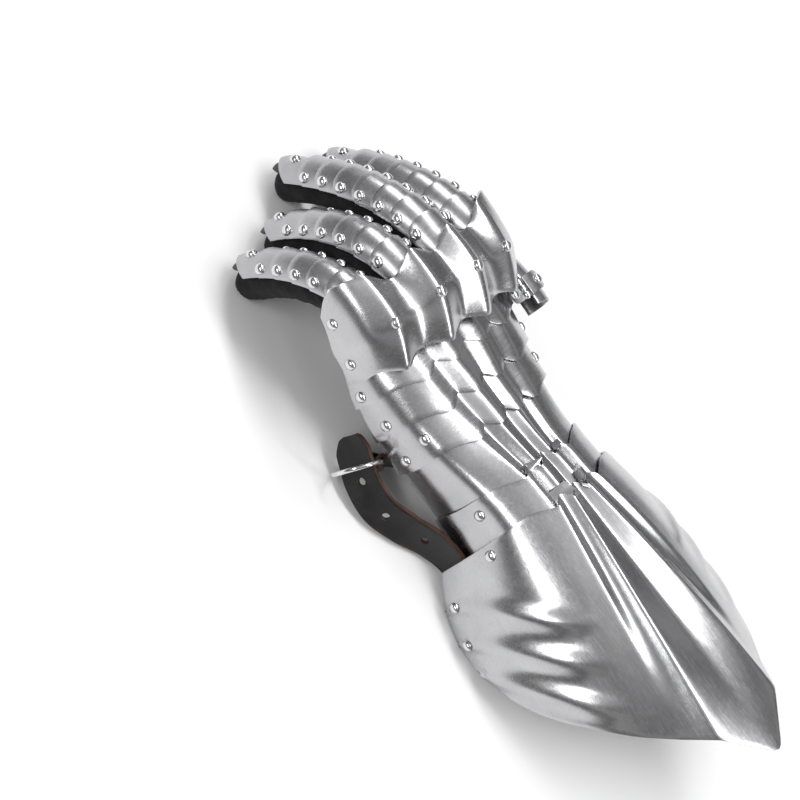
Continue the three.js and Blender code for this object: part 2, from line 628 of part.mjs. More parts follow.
for (const row of FINGERS) {
  const digit = {
    ...row,
    ahead: vec(-1, 0, 0),
    out: vec(0, 0, 1),
    start: vec(row.startX, row.y, row.startZ),
    bias: CURL_BIAS,
    firstEnd: FIRST_LAME_END,
    length: FIRST_LAME_END + (row.lames - 1) * LAME_PITCH + TIP_REACH,
    stallFrom: 4,
    stripFrom: 2,
    stripRows: 6,
  };
  curlToFloor(digit);
  addPlates(digit);
  addPiece(`${row.name}_strip`, stripSolid(digit), 'strip');
  addPiece(`${row.name}_stall`, stallSolid(digit), 'suede');
}

// ---------------------------------------------------------------- thumb
// The thumb lies beside the palm and bends in under the index finger. Its line runs in a plane
// that leans outwards: ahead to -X, out to the thumb side and up.
const THUMB_AHEAD = vec(-0.99, 0, -0.1).normalize();
const THUMB_LEAN = vec(0, 0.92, 0.36);
const THUMB_BASE_LENGTH = 56;
const thumbFirstEnd = THUMB_BASE_LENGTH + LAME_PITCH - 1;
const thumb = {
  ...THUMB,
  ahead: THUMB_AHEAD,
  out: THUMB_LEAN.clone().addScaledVector(THUMB_AHEAD, -THUMB_LEAN.dot(THUMB_AHEAD)).normalize(),
  start: vec(32, 72.5, 37.8),
  startAngle: -8,
  endAngle: 100,
  bias: 0.62,
  firstEnd: thumbFirstEnd,
  length: thumbFirstEnd + (THUMB.lames - 1) * LAME_PITCH + TIP_REACH,
  stallFrom: 18,
  stripFrom: 20,
  stripRows: 12,
};
const baseEnds = (across) => 7 * Math.max(0, (across - 0.4) / 0.6) ** 2;
const thumbBaseRows = lameSheet(thumb, 0, THUMB_BASE_LENGTH, LAME_LIFT, LAME_LIFT, baseEnds, 5);
const thumbBase = closedSheet(thumbBaseRows, innerLame(thumbBaseRows, thumb, LAME_STEEL))
  .add(lameRivet(thumb, THUMB_BASE_LENGTH - 8, 0.35, LAME_LIFT));
addPiece('thumb_base_plate', thumbBase, 'steel');
addPlates(thumb);
addPiece('thumb_strip', stripSolid(thumb), 'strip');

// ---------------------------------------------------------------- glove
// The glove's hand, one row per section: half its width, the top and the underside.
const PALM_SECTIONS = [
  { x: -10, half: 48, top: 71.0, bottom: 46.0 },
  { x: 4, half: 44.5, top: 59.0, bottom: 35.0 },
  { x: 20, half: 41, top: 55.5, bottom: 28.0 },
  { x: 46, half: 37.5, top: 51.5, bottom: 22.0 },
  { x: 68, half: 34.5, top: 50.5, bottom: 17.5 },
  { x: 90, half: 32.5, top: 54.0, bottom: 15.0 },
  { x: 124, half: 33.5, top: 58.5, bottom: 12.0 },
];
const PALM_SIDES = 20;
const PALM_SQUARE = 2.3;      // exponent of the section's rounded outline

/** Outline of the glove's hand at one section, drawn in by an inset. */
function palmRing({ x, half, top, bottom }, inset) {
  const middle = (top + bottom) / 2;
  const tall = (top - bottom) / 2 - inset;
  const wide = half - inset;
  return Array.from({ length: PALM_SIDES }, (_, k) => {
    const angle = (2 * Math.PI * (k + 0.5)) / PALM_SIDES;
    const c = Math.cos(angle);
    const s = Math.sin(angle);
    const size = (Math.abs(c) ** PALM_SQUARE + Math.abs(s) ** PALM_SQUARE) ** (-1 / PALM_SQUARE);
    return vec(x, wide * c * size, middle + tall * s * size);
  });
}
const THUMB_ROOT = { x: 29, y: 36.5, z: 26, along: 12.5, tall: 8 };
const palmOuter = PALM_SECTIONS.map((row) => palmRing(row, 0));
const palmInner = PALM_SECTIONS.map((row) => palmRing(row, LEATHER));
const rootHole = (y, grow) => ring(
  vec(THUMB_ROOT.x, y, THUMB_ROOT.z),
  vec(0.93, 0.37, 0),
  vec(0, 0, 1),
  THUMB_ROOT.along + grow,
  THUMB_ROOT.tall + grow,
  STALL_SIDES,
);
const palm = closedTube(palmOuter, palmInner, false)
  .subtract(loft([rootHole(THUMB_ROOT.y - 14, -LEATHER), rootHole(THUMB_ROOT.y + 14, -LEATHER)]));
addPiece('glove_hand', palm, 'suede');

/** Thumb stall: its root ring lies against the glove's side, the rest follows the thumb line. */
function thumbStall() {
  const rows = (radius, inset) => {
    const reach = thumb.length + STALL_REACH - inset;
    return [rootHole(THUMB_ROOT.y + 3.2, -inset), ...stallRows(thumb, radius, reach)];
  };
  return closedTube(rows(STALL_RADIUS, 0), rows(STALL_RADIUS - LEATHER, LEATHER), true);
}
addPiece('thumb_stall', thumbStall(), 'suede');

// ---------------------------------------------------------------- hinge of the thumb plates
// A small strap hinge: one leaf riveted over the first back lame, the other over the thumb's
// base plate. Its axis runs along the hand. Leaf paths are (y, z) places of the lower face.
const HINGE = { x: 20, y: 57.0, z: 49.4, width: 10, leaf: 1.0, barrel: 2.2, pin: 1.0, play: 0.35 };
const HAND_LEAF = [[39.6, 59.6], [47.4, 55.4], [54.3, 49.9]];
const THUMB_LEAF = [[73.0, 45.0], [68.0, 48.2], [64.0, 49.6], [59.7, 49.7]];
const LEAF_ROUND = 3;         // how much narrower a leaf's riveted end is, each side

/** Flat strip along (y, z) points, its first end drawn in; thickness is added upwards. */
function leafStrip(points) {
  const drawn = (i) => HINGE.width / 2 - (i === 0 ? LEAF_ROUND : 0);
  const first = points[0];
  const second = points[1];
  const rounded = [first, [mix(first[0], second[0], 0.25), mix(first[1], second[1], 0.25)], ...points.slice(1)];
  return loft(rounded.map(([y, z], i) => [
    vec(HINGE.x - drawn(i), y, z),
    vec(HINGE.x + drawn(i), y, z),
    vec(HINGE.x + drawn(i), y, z + HINGE.leaf),
    vec(HINGE.x - drawn(i), y, z + HINGE.leaf),
  ]));
}

/** Cylinder on the hinge axis between two places along it. */
function onHingeAxis(from, to, radius) {
  const at = (x) => ring(vec(HINGE.x + x, HINGE.y, HINGE.z), vec(0, 1, 0), vec(0, 0, 1), radius, radius, 12);
  return loft([at(from), at(to)]);
}

/** Barrel stretch with its ear, which ties it to the leaf on the side given by ear. */
function hingeKnuckle(from, to, ear) {
  const edge = HINGE.y + ear * (HINGE.barrel + 0.9);
  const corner = (y, z) => [vec(HINGE.x + from, y, z), vec(HINGE.x + to, y, z)];
  const face = (y) => {
    const [a, b] = corner(y, HINGE.z + 0.2);
    const [c, d] = corner(y, HINGE.z + 0.2 + 1.4);
    return [a, b, d, c];
  };
  return loft([face(HINGE.y), face(edge)])
    .add(onHingeAxis(from, to, HINGE.barrel))
    .subtract(onHingeAxis(from - 1, to + 1, HINGE.pin + HINGE.play));
}
const hingeHalf = HINGE.width / 2;
const hingeInner = HINGE.width / 6;
const handLeaf = leafStrip(HAND_LEAF)
  .add(hingeKnuckle(-hingeHalf, -hingeInner - HINGE.play, -1))
  .add(hingeKnuckle(hingeInner + HINGE.play, hingeHalf, -1))
  .add(rivet(vec(HINGE.x, 44.0, 58.2), vec(0, 0.45, 0.89), 0.5));
addPiece('hinge_hand_leaf', handLeaf, 'steel');
const thumbLeaf = leafStrip(THUMB_LEAF)
  .add(hingeKnuckle(-hingeInner, hingeInner, 1))
  .add(rivet(vec(HINGE.x, 69.0, 48.6), vec(0, 0.5, 0.86), 0.6));
addPiece('hinge_thumb_leaf', thumbLeaf, 'steel');
addPiece('hinge_pin', onHingeAxis(-hingeHalf - 0.6, hingeHalf + 0.6, HINGE.pin), 'steel');

// ---------------------------------------------------------------- wrist strap and its ring
// The strap is riveted inside the little-finger wing, comes out under the cuff's front corner,
// bows outwards and runs through a round wire ring. lean tips its upper edge towards the hand.
const STRAP = { width: 18, thickness: 2.6, hole: 2.0 };
const STRAP_ROUTE = [
  { x: 138, y: -54.5, z: 13.5, lean: 6 },
  { x: 122, y: -49.0, z: 12.0, lean: 6 },
  { x: 105, y: -44.6, z: 11.5, lean: 8 },
  { x: 92, y: -47.0, z: 10.5, lean: 20 },
  { x: 78, y: -54.0, z: 10.0, lean: 32 },
  { x: 64, y: -59.5, z: 10.5, lean: 34 },
  { x: 50, y: -59.5, z: 12.5, lean: 32 },
  { x: 38, y: -56.0, z: 14.5, lean: 30 },
  { x: 28, y: -52.0, z: 16.0, lean: 30 },
];
const STRAP_HOLES = [3.25, 4.7, 6.1];
const strapCurve = new THREE.CatmullRomCurve3(STRAP_ROUTE.map(({ x, y, z }) => vec(x, y, z)));

/** Centre, run, width and face axes of the strap at a place counted in rows of its route. */
function strapFrame(place) {
  const last = STRAP_ROUTE.length - 1;
  const at = clamp(place, 0, last) / last;
  const i = Math.min(Math.floor(place), last - 1);
  const lean = radians(mix(STRAP_ROUTE[i].lean, STRAP_ROUTE[i + 1].lean, place - i));
  const run = strapCurve.getTangent(at);
  const raw = vec(0, Math.sin(lean), Math.cos(lean));
  const width = raw.clone().addScaledVector(run, -raw.dot(run)).normalize();
  return { point: strapCurve.getPoint(at), run, width, face: run.clone().cross(width) };
}
const strapSteps = (STRAP_ROUTE.length - 1) * 2;
const strapRings = Array.from({ length: strapSteps + 1 }, (_, k) => {
  const { point, width, face } = strapFrame(k / 2);
  const half = (STRAP.width / 2) * (k === strapSteps ? 0.55 : 1);
  return [[-1, -1], [1, -1], [1, 1], [-1, 1]].map(([w, f]) => point.clone()
    .addScaledVector(width, w * half)
    .addScaledVector(face, (f * STRAP.thickness) / 2));
});
const strap = STRAP_HOLES.reduce((solid, place) => {
  const { point, run, width, face } = strapFrame(place);
  const at = (depth) => ring(point.clone().addScaledVector(face, depth), run, width, STRAP.hole, STRAP.hole, 8);
  return solid.subtract(loft([at(-4), at(4)]));
}, loft(strapRings));
addPiece('wrist_strap', strap, 'strap');

const RING = { place: 6.6, radius: 11.8, wire: 1.2, sides: 20, wireSides: 6 };

/** Closed wire ring round a centre, in the plane of axes u and v. */
function wireRing(centre, u, v, radius, wire, sides, wireSides) {
  const axis = u.clone().cross(v).normalize();
  const positions = [];
  const index = [];
  for (let i = 0; i < sides; i += 1) {
    const angle = (2 * Math.PI * i) / sides;
    const spoke = u.clone().multiplyScalar(Math.cos(angle)).addScaledVector(v, Math.sin(angle));
    const at = centre.clone().addScaledVector(spoke, radius);
    ring(at, spoke, axis, wire, wire, wireSides).forEach((p) => positions.push(p.x, p.y, p.z));
    for (let j = 0; j < wireSides; j += 1) {
      const k = (j + 1) % wireSides;
      const a = i * wireSides;
      const b = ((i + 1) % sides) * wireSides;
      index.push(a + j, b + j, b + k, a + j, b + k, a + k);
    }
  }
  return toManifold(positions, index);
}
const ringFrame = strapFrame(RING.place);
addPiece('buckle_ring', wireRing(
  ringFrame.point,
  ringFrame.width,
  ringFrame.face,
  RING.radius,
  RING.wire,
  RING.sides,
  RING.wireSides,
), 'steel');

// The tab that holds the ring: one leather strip, wrapped round the wire, its tail tucked inside
// the lames. loop is the radius of the wrapped strip's middle, turn is where it sits on the ring.
const TAB = { width: 9, thickness: 1.8, loop: 3.1, turn: 60, wrapFrom: -100, wrapTo: -360, wrapSteps: 9 };
const TAB_TAIL = [[51, -41.0, 16.5], [57, -37, 19.5], [63, -35.6, 24]];
const tabSpoke = ringFrame.width.clone().multiplyScalar(Math.cos(radians(TAB.turn)))
  .addScaledVector(ringFrame.face, Math.sin(radians(TAB.turn)));
const tabWire = tabSpoke.clone().cross(ringFrame.run).normalize();
const tabCentre = ringFrame.point.clone().addScaledVector(tabSpoke, RING.radius - 0.2);
const tabWrap = Array.from({ length: TAB.wrapSteps + 1 }, (_, k) => {
  const angle = radians(mix(TAB.wrapFrom, TAB.wrapTo, k / TAB.wrapSteps));
  return tabCentre.clone()
    .addScaledVector(tabSpoke, TAB.loop * Math.cos(angle))
    .addScaledVector(ringFrame.run, TAB.loop * Math.sin(angle));
});
const tabPoints = [...tabWrap, ...TAB_TAIL.map((p) => vec(...p))];
addPiece('buckle_tab', loft(tabPoints.map((p, i) => {
  const next = tabPoints[Math.min(i + 1, tabPoints.length - 1)].clone();
  const run = next.sub(tabPoints[Math.max(i - 1, 0)]).normalize();
  const width = tabWire.clone().addScaledVector(run, -tabWire.dot(run)).normalize();
  const face = run.clone().cross(width);
  return [[-1, -1], [1, -1], [1, 1], [-1, 1]].map(([w, f]) => p.clone()
    .addScaledVector(width, (w * TAB.width) / 2)
    .addScaledVector(face, (f * TAB.thickness) / 2));
})), 'strap');

// ---------------------------------------------------------------- origin: middle of the base
const extent = new THREE.Box3().setFromObject(gauntlet);
const middle = extent.getCenter(new THREE.Vector3());
for (const piece of gauntlet.children) {
  piece.geometry.translate(-middle.x, -middle.y, -extent.min.z);
}

export default gauntlet;
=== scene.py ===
import logging
import math
from dataclasses import dataclass, field
from enum import Enum
from typing import Callable, Sequence

import bpy
from mathutils import Matrix, Vector, noise


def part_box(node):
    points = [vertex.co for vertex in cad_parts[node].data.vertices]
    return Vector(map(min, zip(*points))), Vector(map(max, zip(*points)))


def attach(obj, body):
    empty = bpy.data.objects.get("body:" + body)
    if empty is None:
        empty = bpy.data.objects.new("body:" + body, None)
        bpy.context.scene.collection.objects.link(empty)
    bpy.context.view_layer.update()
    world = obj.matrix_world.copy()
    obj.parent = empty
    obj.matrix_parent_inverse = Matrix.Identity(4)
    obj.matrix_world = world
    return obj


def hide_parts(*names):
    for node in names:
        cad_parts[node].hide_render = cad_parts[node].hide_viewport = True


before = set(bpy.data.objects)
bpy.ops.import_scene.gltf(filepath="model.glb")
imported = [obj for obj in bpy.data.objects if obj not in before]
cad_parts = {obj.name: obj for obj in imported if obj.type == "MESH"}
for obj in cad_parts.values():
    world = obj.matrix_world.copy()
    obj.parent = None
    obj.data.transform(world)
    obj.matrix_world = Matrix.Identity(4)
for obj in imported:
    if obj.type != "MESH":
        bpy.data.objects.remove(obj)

# A left-hand armoured gauntlet: fluted satin steel plates riveted to a black suede glove.
# Sizes are millimetres in the maker's own axes: x = 0 under the knuckle rivets, +x to the
# cuff's point, the thumb on +y, z = 0 the surface that it rests on. Workshop.place moves them
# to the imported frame, in metres.

MM = 0.001
HINGE_CENTRE = Vector((20.0, 57.0, 49.4))
PIN_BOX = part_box("hinge_pin")
PLACE_SHIFT = (PIN_BOX[0] + PIN_BOX[1]) / 2 / MM - HINGE_CENTRE

STEEL = 1.2
LAME_STEEL = 1.0
LEATHER = 1.8
GAP = 0.4
LIFT = 3.2
ZIGZAG = 6.5
FLUTE_DEPTH = 2.6

Rows = list[list[Vector]]
log = logging.getLogger("gauntlet")


class Slot(Enum):
    """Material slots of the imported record."""

    STEEL = "plate_steel"
    WIRE = "wire"
    SUEDE = "glove_suede"
    STRIP = "strip_leather"
    STRAP = "strap_leather"


class Hand(Enum):
    """Side of a plate, as the sign of its y."""

    LITTLE_FINGER = -1
    THUMB = 1


# ------------------------------------------------------------------ small maths
def mix(a: float, b: float, t: float) -> float:
    """Return the value a share t of the way from a to b."""
    return a + (b - a) * t


def clamp(value: float, low: float, high: float) -> float:
    """Return value held between low and high."""
    return min(high, max(low, value))


def catmull(p0: Vector, p1: Vector, p2: Vector, p3: Vector, t: float) -> Vector:
    """Point of a centripetal Catmull-Rom span.

    Args:
        p0: Point before the span.
        p1: Start of the span.
        p2: End of the span.
        p3: Point after the span.
        t: Share of the span.

    Returns:
        The point.
    """
    d1 = max((p1 - p2).length, 1e-4) ** 0.5
    d0 = (p0 - p1).length ** 0.5 or d1
    d2 = (p2 - p3).length ** 0.5 or d1
    m1 = ((p1 - p0) / d0 - (p2 - p0) / (d0 + d1) + (p2 - p1) / d1) * d1
    m2 = ((p2 - p1) / d1 - (p3 - p1) / (d1 + d2) + (p3 - p2) / d2) * d1
    c2 = -3 * p1 + 3 * p2 - 2 * m1 - m2
    c3 = 2 * p1 - 2 * p2 + m1 + m2
    return p1 + m1 * t + c2 * t * t + c3 * t ** 3


def along_curve(points: Sequence[Vector], place: float) -> Vector:
    """Point of an open smooth curve at a place counted in its points."""
    i = int(clamp(math.floor(place), 0, len(points) - 2))
    before = points[i - 1] if i else points[0] * 2 - points[1]
    after = points[i + 2] if i + 2 < len(points) else points[-1] * 2 - points[-2]
    return catmull(before, points[i], points[i + 1], after, place - i)


def across_folds(points: Sequence[Vector], sharp: Sequence[bool], cuts: int) -> list[Vector]:
    """Points between fold lines, straight beside a fold and rounded elsewhere.

    Args:
        points: One point on each line.
        sharp: Which of the lines are folds.
        cuts: How many parts each span gets.

    Returns:
        The denser row.
    """
    row = []
    last = len(points) - 1
    for j in range(last):
        p1, p2 = points[j], points[j + 1]
        before = p1 * 2 - p2 if sharp[j] or j == 0 else points[j - 1]
        after = p2 * 2 - p1 if sharp[j + 1] or j + 2 > last else points[j + 2]
        row += [catmull(before, p1, p2, after, k / cuts) for k in range(cuts)]
    return row + [points[last].copy()]


def soften_row(row: list[Vector], passes: int) -> list[Vector]:
    """Round the folds of a row a little, its ends kept."""
    for _ in range(passes):
        inner = [(a + b * 2 + c) / 4 for a, b, c in zip(row, row[1:], row[2:])]
        row = [row[0], *inner, row[-1]]
    return row


def soften(rows: Rows, across: int, along: int = 0) -> Rows:
    """Round the folds of a sheet across it and along it."""
    rows = [soften_row(row, across) for row in rows]
    if along:
        columns = [soften_row(list(column), along) for column in zip(*rows)]
        rows = [list(row) for row in zip(*columns)]
    return rows


def sheet_normals(rows: Rows) -> Rows:
    """Unit normals of a sheet of points, by its neighbours."""
    last, side = len(rows) - 1, len(rows[0]) - 1
    made = []
    for i, row in enumerate(rows):
        below, above = rows[max(i - 1, 0)], rows[min(i + 1, last)]
        made.append([
            (row[min(j + 1, side)] - row[max(j - 1, 0)]).cross(above[j] - below[j]).normalized()
            for j in range(side + 1)
        ])
    return made


def upright(normal: Vector, point: Vector) -> Vector:
    """A normal turned to point away from the inside of the hand."""
    outwards = Vector((0, point.y, max(point.z - 25, 4)))
    return -normal if normal.dot(outwards) < 0 else normal


def on_sheet(rows: Rows, along: float, across: float) -> tuple[Vector, Vector]:
    """Place and outward normal on a sheet.

    Args:
        rows: The sheet.
        along: Share of the way through its rows.
        across: Share of the way across a row.

    Returns:
        The point and its normal.
    """
    i = along * (len(rows) - 1)
    j = across * (len(rows[0]) - 1)
    i0 = min(int(i), len(rows) - 2)
    j0 = min(int(j), len(rows[0]) - 2)
    a = rows[i0][j0].lerp(rows[i0][j0 + 1], j - j0)
    b = rows[i0 + 1][j0].lerp(rows[i0 + 1][j0 + 1], j - j0)
    reach = 2
    left, right = rows[i0][max(j0 - reach, 0)], rows[i0][min(j0 + 1 + reach, len(rows[0]) - 1)]
    return a.lerp(b, i - i0), upright((right - left).cross(b - a).normalized(), a)


# ------------------------------------------------------------------ workshop
class Workshop:
    """Blender operations that every sub-assembly uses."""

    @staticmethod
    def place(point: Vector) -> Vector:
        """Packed place, in metres, of a point in millimetres."""
        return (point + PLACE_SHIFT) * MM

    @staticmethod
    def pick(*pieces: bpy.types.Object) -> None:
        """Select these pieces alone, the first of them active."""
        bpy.ops.object.select_all(action="DESELECT")
        for piece in pieces:
            piece.select_set(True)
        bpy.context.view_layer.objects.active = pieces[0]

    @classmethod
    def mesh_piece(cls, name: str, points: list[Vector], faces: list[tuple[int, ...]]) -> bpy.types.Object:
        """New object from points in millimetres and faces."""
        mesh = bpy.data.meshes.new(name)
        mesh.from_pydata([cls.place(p) for p in points], [], faces)
        mesh.validate()
        piece = bpy.data.objects.new(name, mesh)
        bpy.context.scene.collection.objects.link(piece)
        return piece

    @classmethod
    def turn_out(cls, piece: bpy.types.Object, outward: Vector) -> None:
        """Flip an open sheet's faces if on the whole they look away from outward."""
        total = Vector()
        for face in piece.data.polygons:
            total += Vector(face.normal) * face.area
        if total.dot(outward) < 0:
            piece.data.flip_normals()

    @classmethod
    def sheet_piece(cls, name: str, rows: Rows, outward: Vector) -> bpy.types.Object:
        """Open sheet of quads, its faces looking outward."""
        stride = len(rows[0])
        faces = [
            (i * stride + j, i * stride + j + 1, (i + 1) * stride + j + 1, (i + 1) * stride + j)
            for i in range(len(rows) - 1)
            for j in range(stride - 1)
        ]
        piece = cls.mesh_piece(name, [p for row in rows for p in row], faces)
        cls.turn_out(piece, outward)
        return piece

    @classmethod
    def tube_piece(cls, name: str, rings: Rows, capped: bool) -> bpy.types.Object:
        """Tube through rings of points, its far end closed if capped."""
        sides = len(rings[0])
        faces: list[tuple[int, ...]] = []
        for i in range(len(rings) - 1):
            for j in range(sides):
                k = (j + 1) % sides
                faces.append((i * sides + j, i * sides + k, (i + 1) * sides + k, (i + 1) * sides + j))
        points = [p for row in rings for p in row]
        if capped:
            centre = sum(rings[-1], Vector()) / sides
            points.append(centre)
            end = (len(rings) - 1) * sides
            faces += [(end + j, end + (j + 1) % sides, len(points) - 1) for j in range(sides)]
        piece = cls.mesh_piece(name, points, faces)
        middle = len(rings) // 2
        core = sum(rings[middle], Vector()) / sides
        face = piece.data.polygons[middle * sides]
        if Vector(face.normal).dot(Vector(face.center) - cls.place(core)) < 0:
            piece.data.flip_normals()
        return piece

    @classmethod
    def apply_all(cls, piece: bpy.types.Object) -> None:
        """Apply the piece's modifiers in their order."""
        cls.pick(piece)
        for modifier in list(piece.modifiers):
            bpy.ops.object.modifier_apply(modifier=modifier.name)

    @classmethod
    def thicken(
        cls,
        piece: bpy.types.Object,
        thickness: float,
        edge: float,
        offset: float = -1.0,
        raw_edge: bool = False,
        angle: float = 50.0,
    ) -> None:
        """Give a sheet its wall and rounded edges.

        Args:
            piece: The open sheet.
            thickness: Wall, in millimetres.
            edge: Rounding of its edges, in millimetres.
            offset: -1 for a wall inside the sheet, 0 for one on both sides.
            raw_edge: Whether the cut edge takes the next material.
            angle: Least angle of an edge that is rounded, in degrees.
        """
        wall = piece.modifiers.new("wall", "SOLIDIFY")
        wall.thickness = thickness * MM
        wall.offset = offset
        wall.use_even_offset = True
        wall.material_offset_rim = int(raw_edge)
        rounding = piece.modifiers.new("edge", "BEVEL")
        rounding.width = edge * MM
        rounding.segments = 2
        rounding.limit_method = "ANGLE"
        rounding.angle_limit = math.radians(angle)
        cls.apply_all(piece)

    @classmethod
    def smooth(cls, piece: bpy.types.Object, degrees: float = 38.0) -> None:
        """Shade smooth, apart from edges over this angle."""
        cls.pick(piece)
        bpy.ops.object.shade_smooth_by_angle(angle=math.radians(degrees))

    @classmethod
    def join(cls, piece: bpy.types.Object, others: Sequence[bpy.types.Object]) -> None:
        """Join other pieces to this one."""
        if others:
            cls.pick(piece, *others)
            bpy.ops.object.join()

    @classmethod
    def hand_in(cls, piece: bpy.types.Object, slot: Slot, *nodes: str) -> None:
        """Ride the finished piece on the root, hide the nodes it stands for and log its face count."""
        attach(piece, "root")
        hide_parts(*nodes)
        log.info("%s: %d faces", piece.name, len(piece.data.polygons))


# ------------------------------------------------------------------ finishes
class NodeBench:
    """Small helper that lays out one material's nodes."""

    def __init__(self, name: str) -> None:
        """Start a material with a Principled shader."""
        self.material = bpy.data.materials.new(name)
        self.material.use_nodes = True
        self.tree = self.material.node_tree
        self.shader = self.tree.nodes["Principled BSDF"]
        self.place = self.tree.nodes.new("ShaderNodeTexCoord").outputs["Object"]

    def link(self, source: bpy.types.NodeSocket, target: bpy.types.NodeSocket) -> None:
        """Join two sockets."""
        self.tree.links.new(source, target)

    def stretched(self, scale: Sequence[float], turn: Sequence[float] = (0, 0, 0)) -> bpy.types.NodeSocket:
        """Object coordinates turned and then scaled per axis."""
        node = self.tree.nodes.new("ShaderNodeMapping")
        node.inputs["Scale"].default_value = scale
        node.inputs["Rotation"].default_value = turn
        self.link(self.place, node.inputs["Vector"])
        return node.outputs["Vector"]

    def noise(
        self, scale: float, detail: float = 4.0, vector: bpy.types.NodeSocket | None = None, rough: float = 0.55
    ) -> bpy.types.NodeSocket:
        """Noise value on object coordinates or on the given vector."""
        node = self.tree.nodes.new("ShaderNodeTexNoise")
        node.inputs["Scale"].default_value = scale
        node.inputs["Detail"].default_value = detail
        node.inputs["Roughness"].default_value = rough
        self.link(vector or self.place, node.inputs["Vector"])
        return node.outputs["Fac"]

    def cells(self, scale: float) -> bpy.types.NodeSocket:
        """Distance to the nearest grain of a leather."""
        node = self.tree.nodes.new("ShaderNodeTexVoronoi")
        node.inputs["Scale"].default_value = scale
        self.link(self.place, node.inputs["Vector"])
        return node.outputs["Distance"]

    def spread(self, value: bpy.types.NodeSocket, low: float, high: float, least: float = 0.3, most: float = 0.7) -> bpy.types.NodeSocket:
        """Map a noise value to a range."""
        node = self.tree.nodes.new("ShaderNodeMapRange")
        node.inputs["From Min"].default_value = least
        node.inputs["From Max"].default_value = most
        node.inputs["To Min"].default_value = low
        node.inputs["To Max"].default_value = high
        self.link(value, node.inputs["Value"])
        return node.outputs["Result"]

    def blend(self, factor: bpy.types.NodeSocket, first: Sequence[float], second: Sequence[float]) -> bpy.types.NodeSocket:
        """Colour between two colours by a factor."""
        node = self.tree.nodes.new("ShaderNodeMix")
        node.data_type = "RGBA"
        node.inputs[6].default_value = (*first, 1)
        node.inputs[7].default_value = (*second, 1)
        self.link(factor, node.inputs["Factor"])
        return node.outputs[2]

    def bump(self, height: bpy.types.NodeSocket, strength: float, distance: float, under: bpy.types.NodeSocket | None = None) -> bpy.types.NodeSocket:
        """Bumped normal from a height."""
        node = self.tree.nodes.new("ShaderNodeBump")
        node.inputs["Strength"].default_value = strength
        node.inputs["Distance"].default_value = distance
        self.link(height, node.inputs["Height"])
        if under:
            self.link(under, node.inputs["Normal"])
        return node.outputs["Normal"]


@dataclass(frozen=True)
class SatinSteel:
    """Bare mild steel with a hand-brushed satin face."""

    name: str
    bright: tuple[float, float, float] = (0.56, 0.56, 0.57)
    dull: tuple[float, float, float] = (0.47, 0.47, 0.485)
    smoothest: float = 0.2
    roughest: float = 0.29
    brushed_along: tuple[float, float, float] = (60.0, 2600.0, 2600.0)
    grain: float = 0.07

    def build(self) -> bpy.types.Material:
        """Make the material."""
        bench = NodeBench(self.name)
        shader = bench.shader
        shader.inputs["Metallic"].default_value = 1.0
        streaks = bench.noise(1.0, 3.0, bench.stretched(self.brushed_along))
        cloud = bench.noise(46.0, 5.0)
        mottle = bench.noise(420.0, 3.0)
        bench.link(bench.blend(bench.spread(cloud, 0, 1), self.bright, self.dull), shader.inputs["Base Color"])
        total = bench.tree.nodes.new("ShaderNodeMath")
        total.operation = "ADD"
        bench.link(bench.spread(streaks, self.smoothest, self.roughest), total.inputs[0])
        bench.link(bench.spread(mottle, -0.015, 0.02), total.inputs[1])
        bench.link(total.outputs[0], shader.inputs["Roughness"])
        beaten = bench.bump(bench.noise(60.0, 2.0), 0.12, 0.0011)
        grain = bench.bump(streaks, self.grain, 0.00022, beaten)
        bench.link(bench.bump(mottle, 0.03, 0.0002, grain), shader.inputs["Normal"])
        return bench.material


@dataclass(frozen=True)
class PolishedSteel:
    """Polished rivet heads and plated wire."""

    name: str
    color: tuple[float, float, float] = (0.8, 0.8, 0.81)
    shade: tuple[float, float, float] = (0.66, 0.66, 0.675)
    roughness: tuple[float, float] = (0.1, 0.22)

    def build(self) -> bpy.types.Material:
        """Make the material."""
        bench = NodeBench(self.name)
        shader = bench.shader
        shader.inputs["Metallic"].default_value = 1.0
        scratches = bench.noise(1.0, 3.0, bench.stretched((500, 2600, 2600), (0.4, 0.9, 0.2)))
        bench.link(bench.blend(bench.spread(bench.noise(260.0), 0, 1), self.color, self.shade), shader.inputs["Base Color"])
        bench.link(bench.spread(scratches, *self.roughness), shader.inputs["Roughness"])
        bench.link(bench.bump(scratches, 0.06, 0.0001), shader.inputs["Normal"])
        return bench.material


@dataclass(frozen=True)
class Suede:
    """Black suede with a short nap and soft creases."""

    name: str
    color: tuple[float, float, float] = (0.004, 0.004, 0.0045)
    worn: tuple[float, float, float] = (0.013, 0.013, 0.0145)

    def build(self) -> bpy.types.Material:
        """Make the material."""
        bench = NodeBench(self.name)
        shader = bench.shader
        nap = bench.noise(2300.0, 3.0)
        patches = bench.noise(85.0, 5.0)
        bench.link(bench.blend(bench.spread(patches, 0, 1, 0.35, 0.72), self.color, self.worn), shader.inputs["Base Color"])
        bench.link(bench.spread(nap, 0.82, 1.0), shader.inputs["Roughness"])
        shader.inputs["Sheen Weight"].default_value = 0.06
        shader.inputs["Sheen Roughness"].default_value = 0.6
        shader.inputs["Specular IOR Level"].default_value = 0.2
        creases = bench.bump(bench.noise(120.0, 4.0), 0.5, 0.0012)
        bench.link(bench.bump(nap, 0.75, 0.0005, creases), shader.inputs["Normal"])
        return bench.material


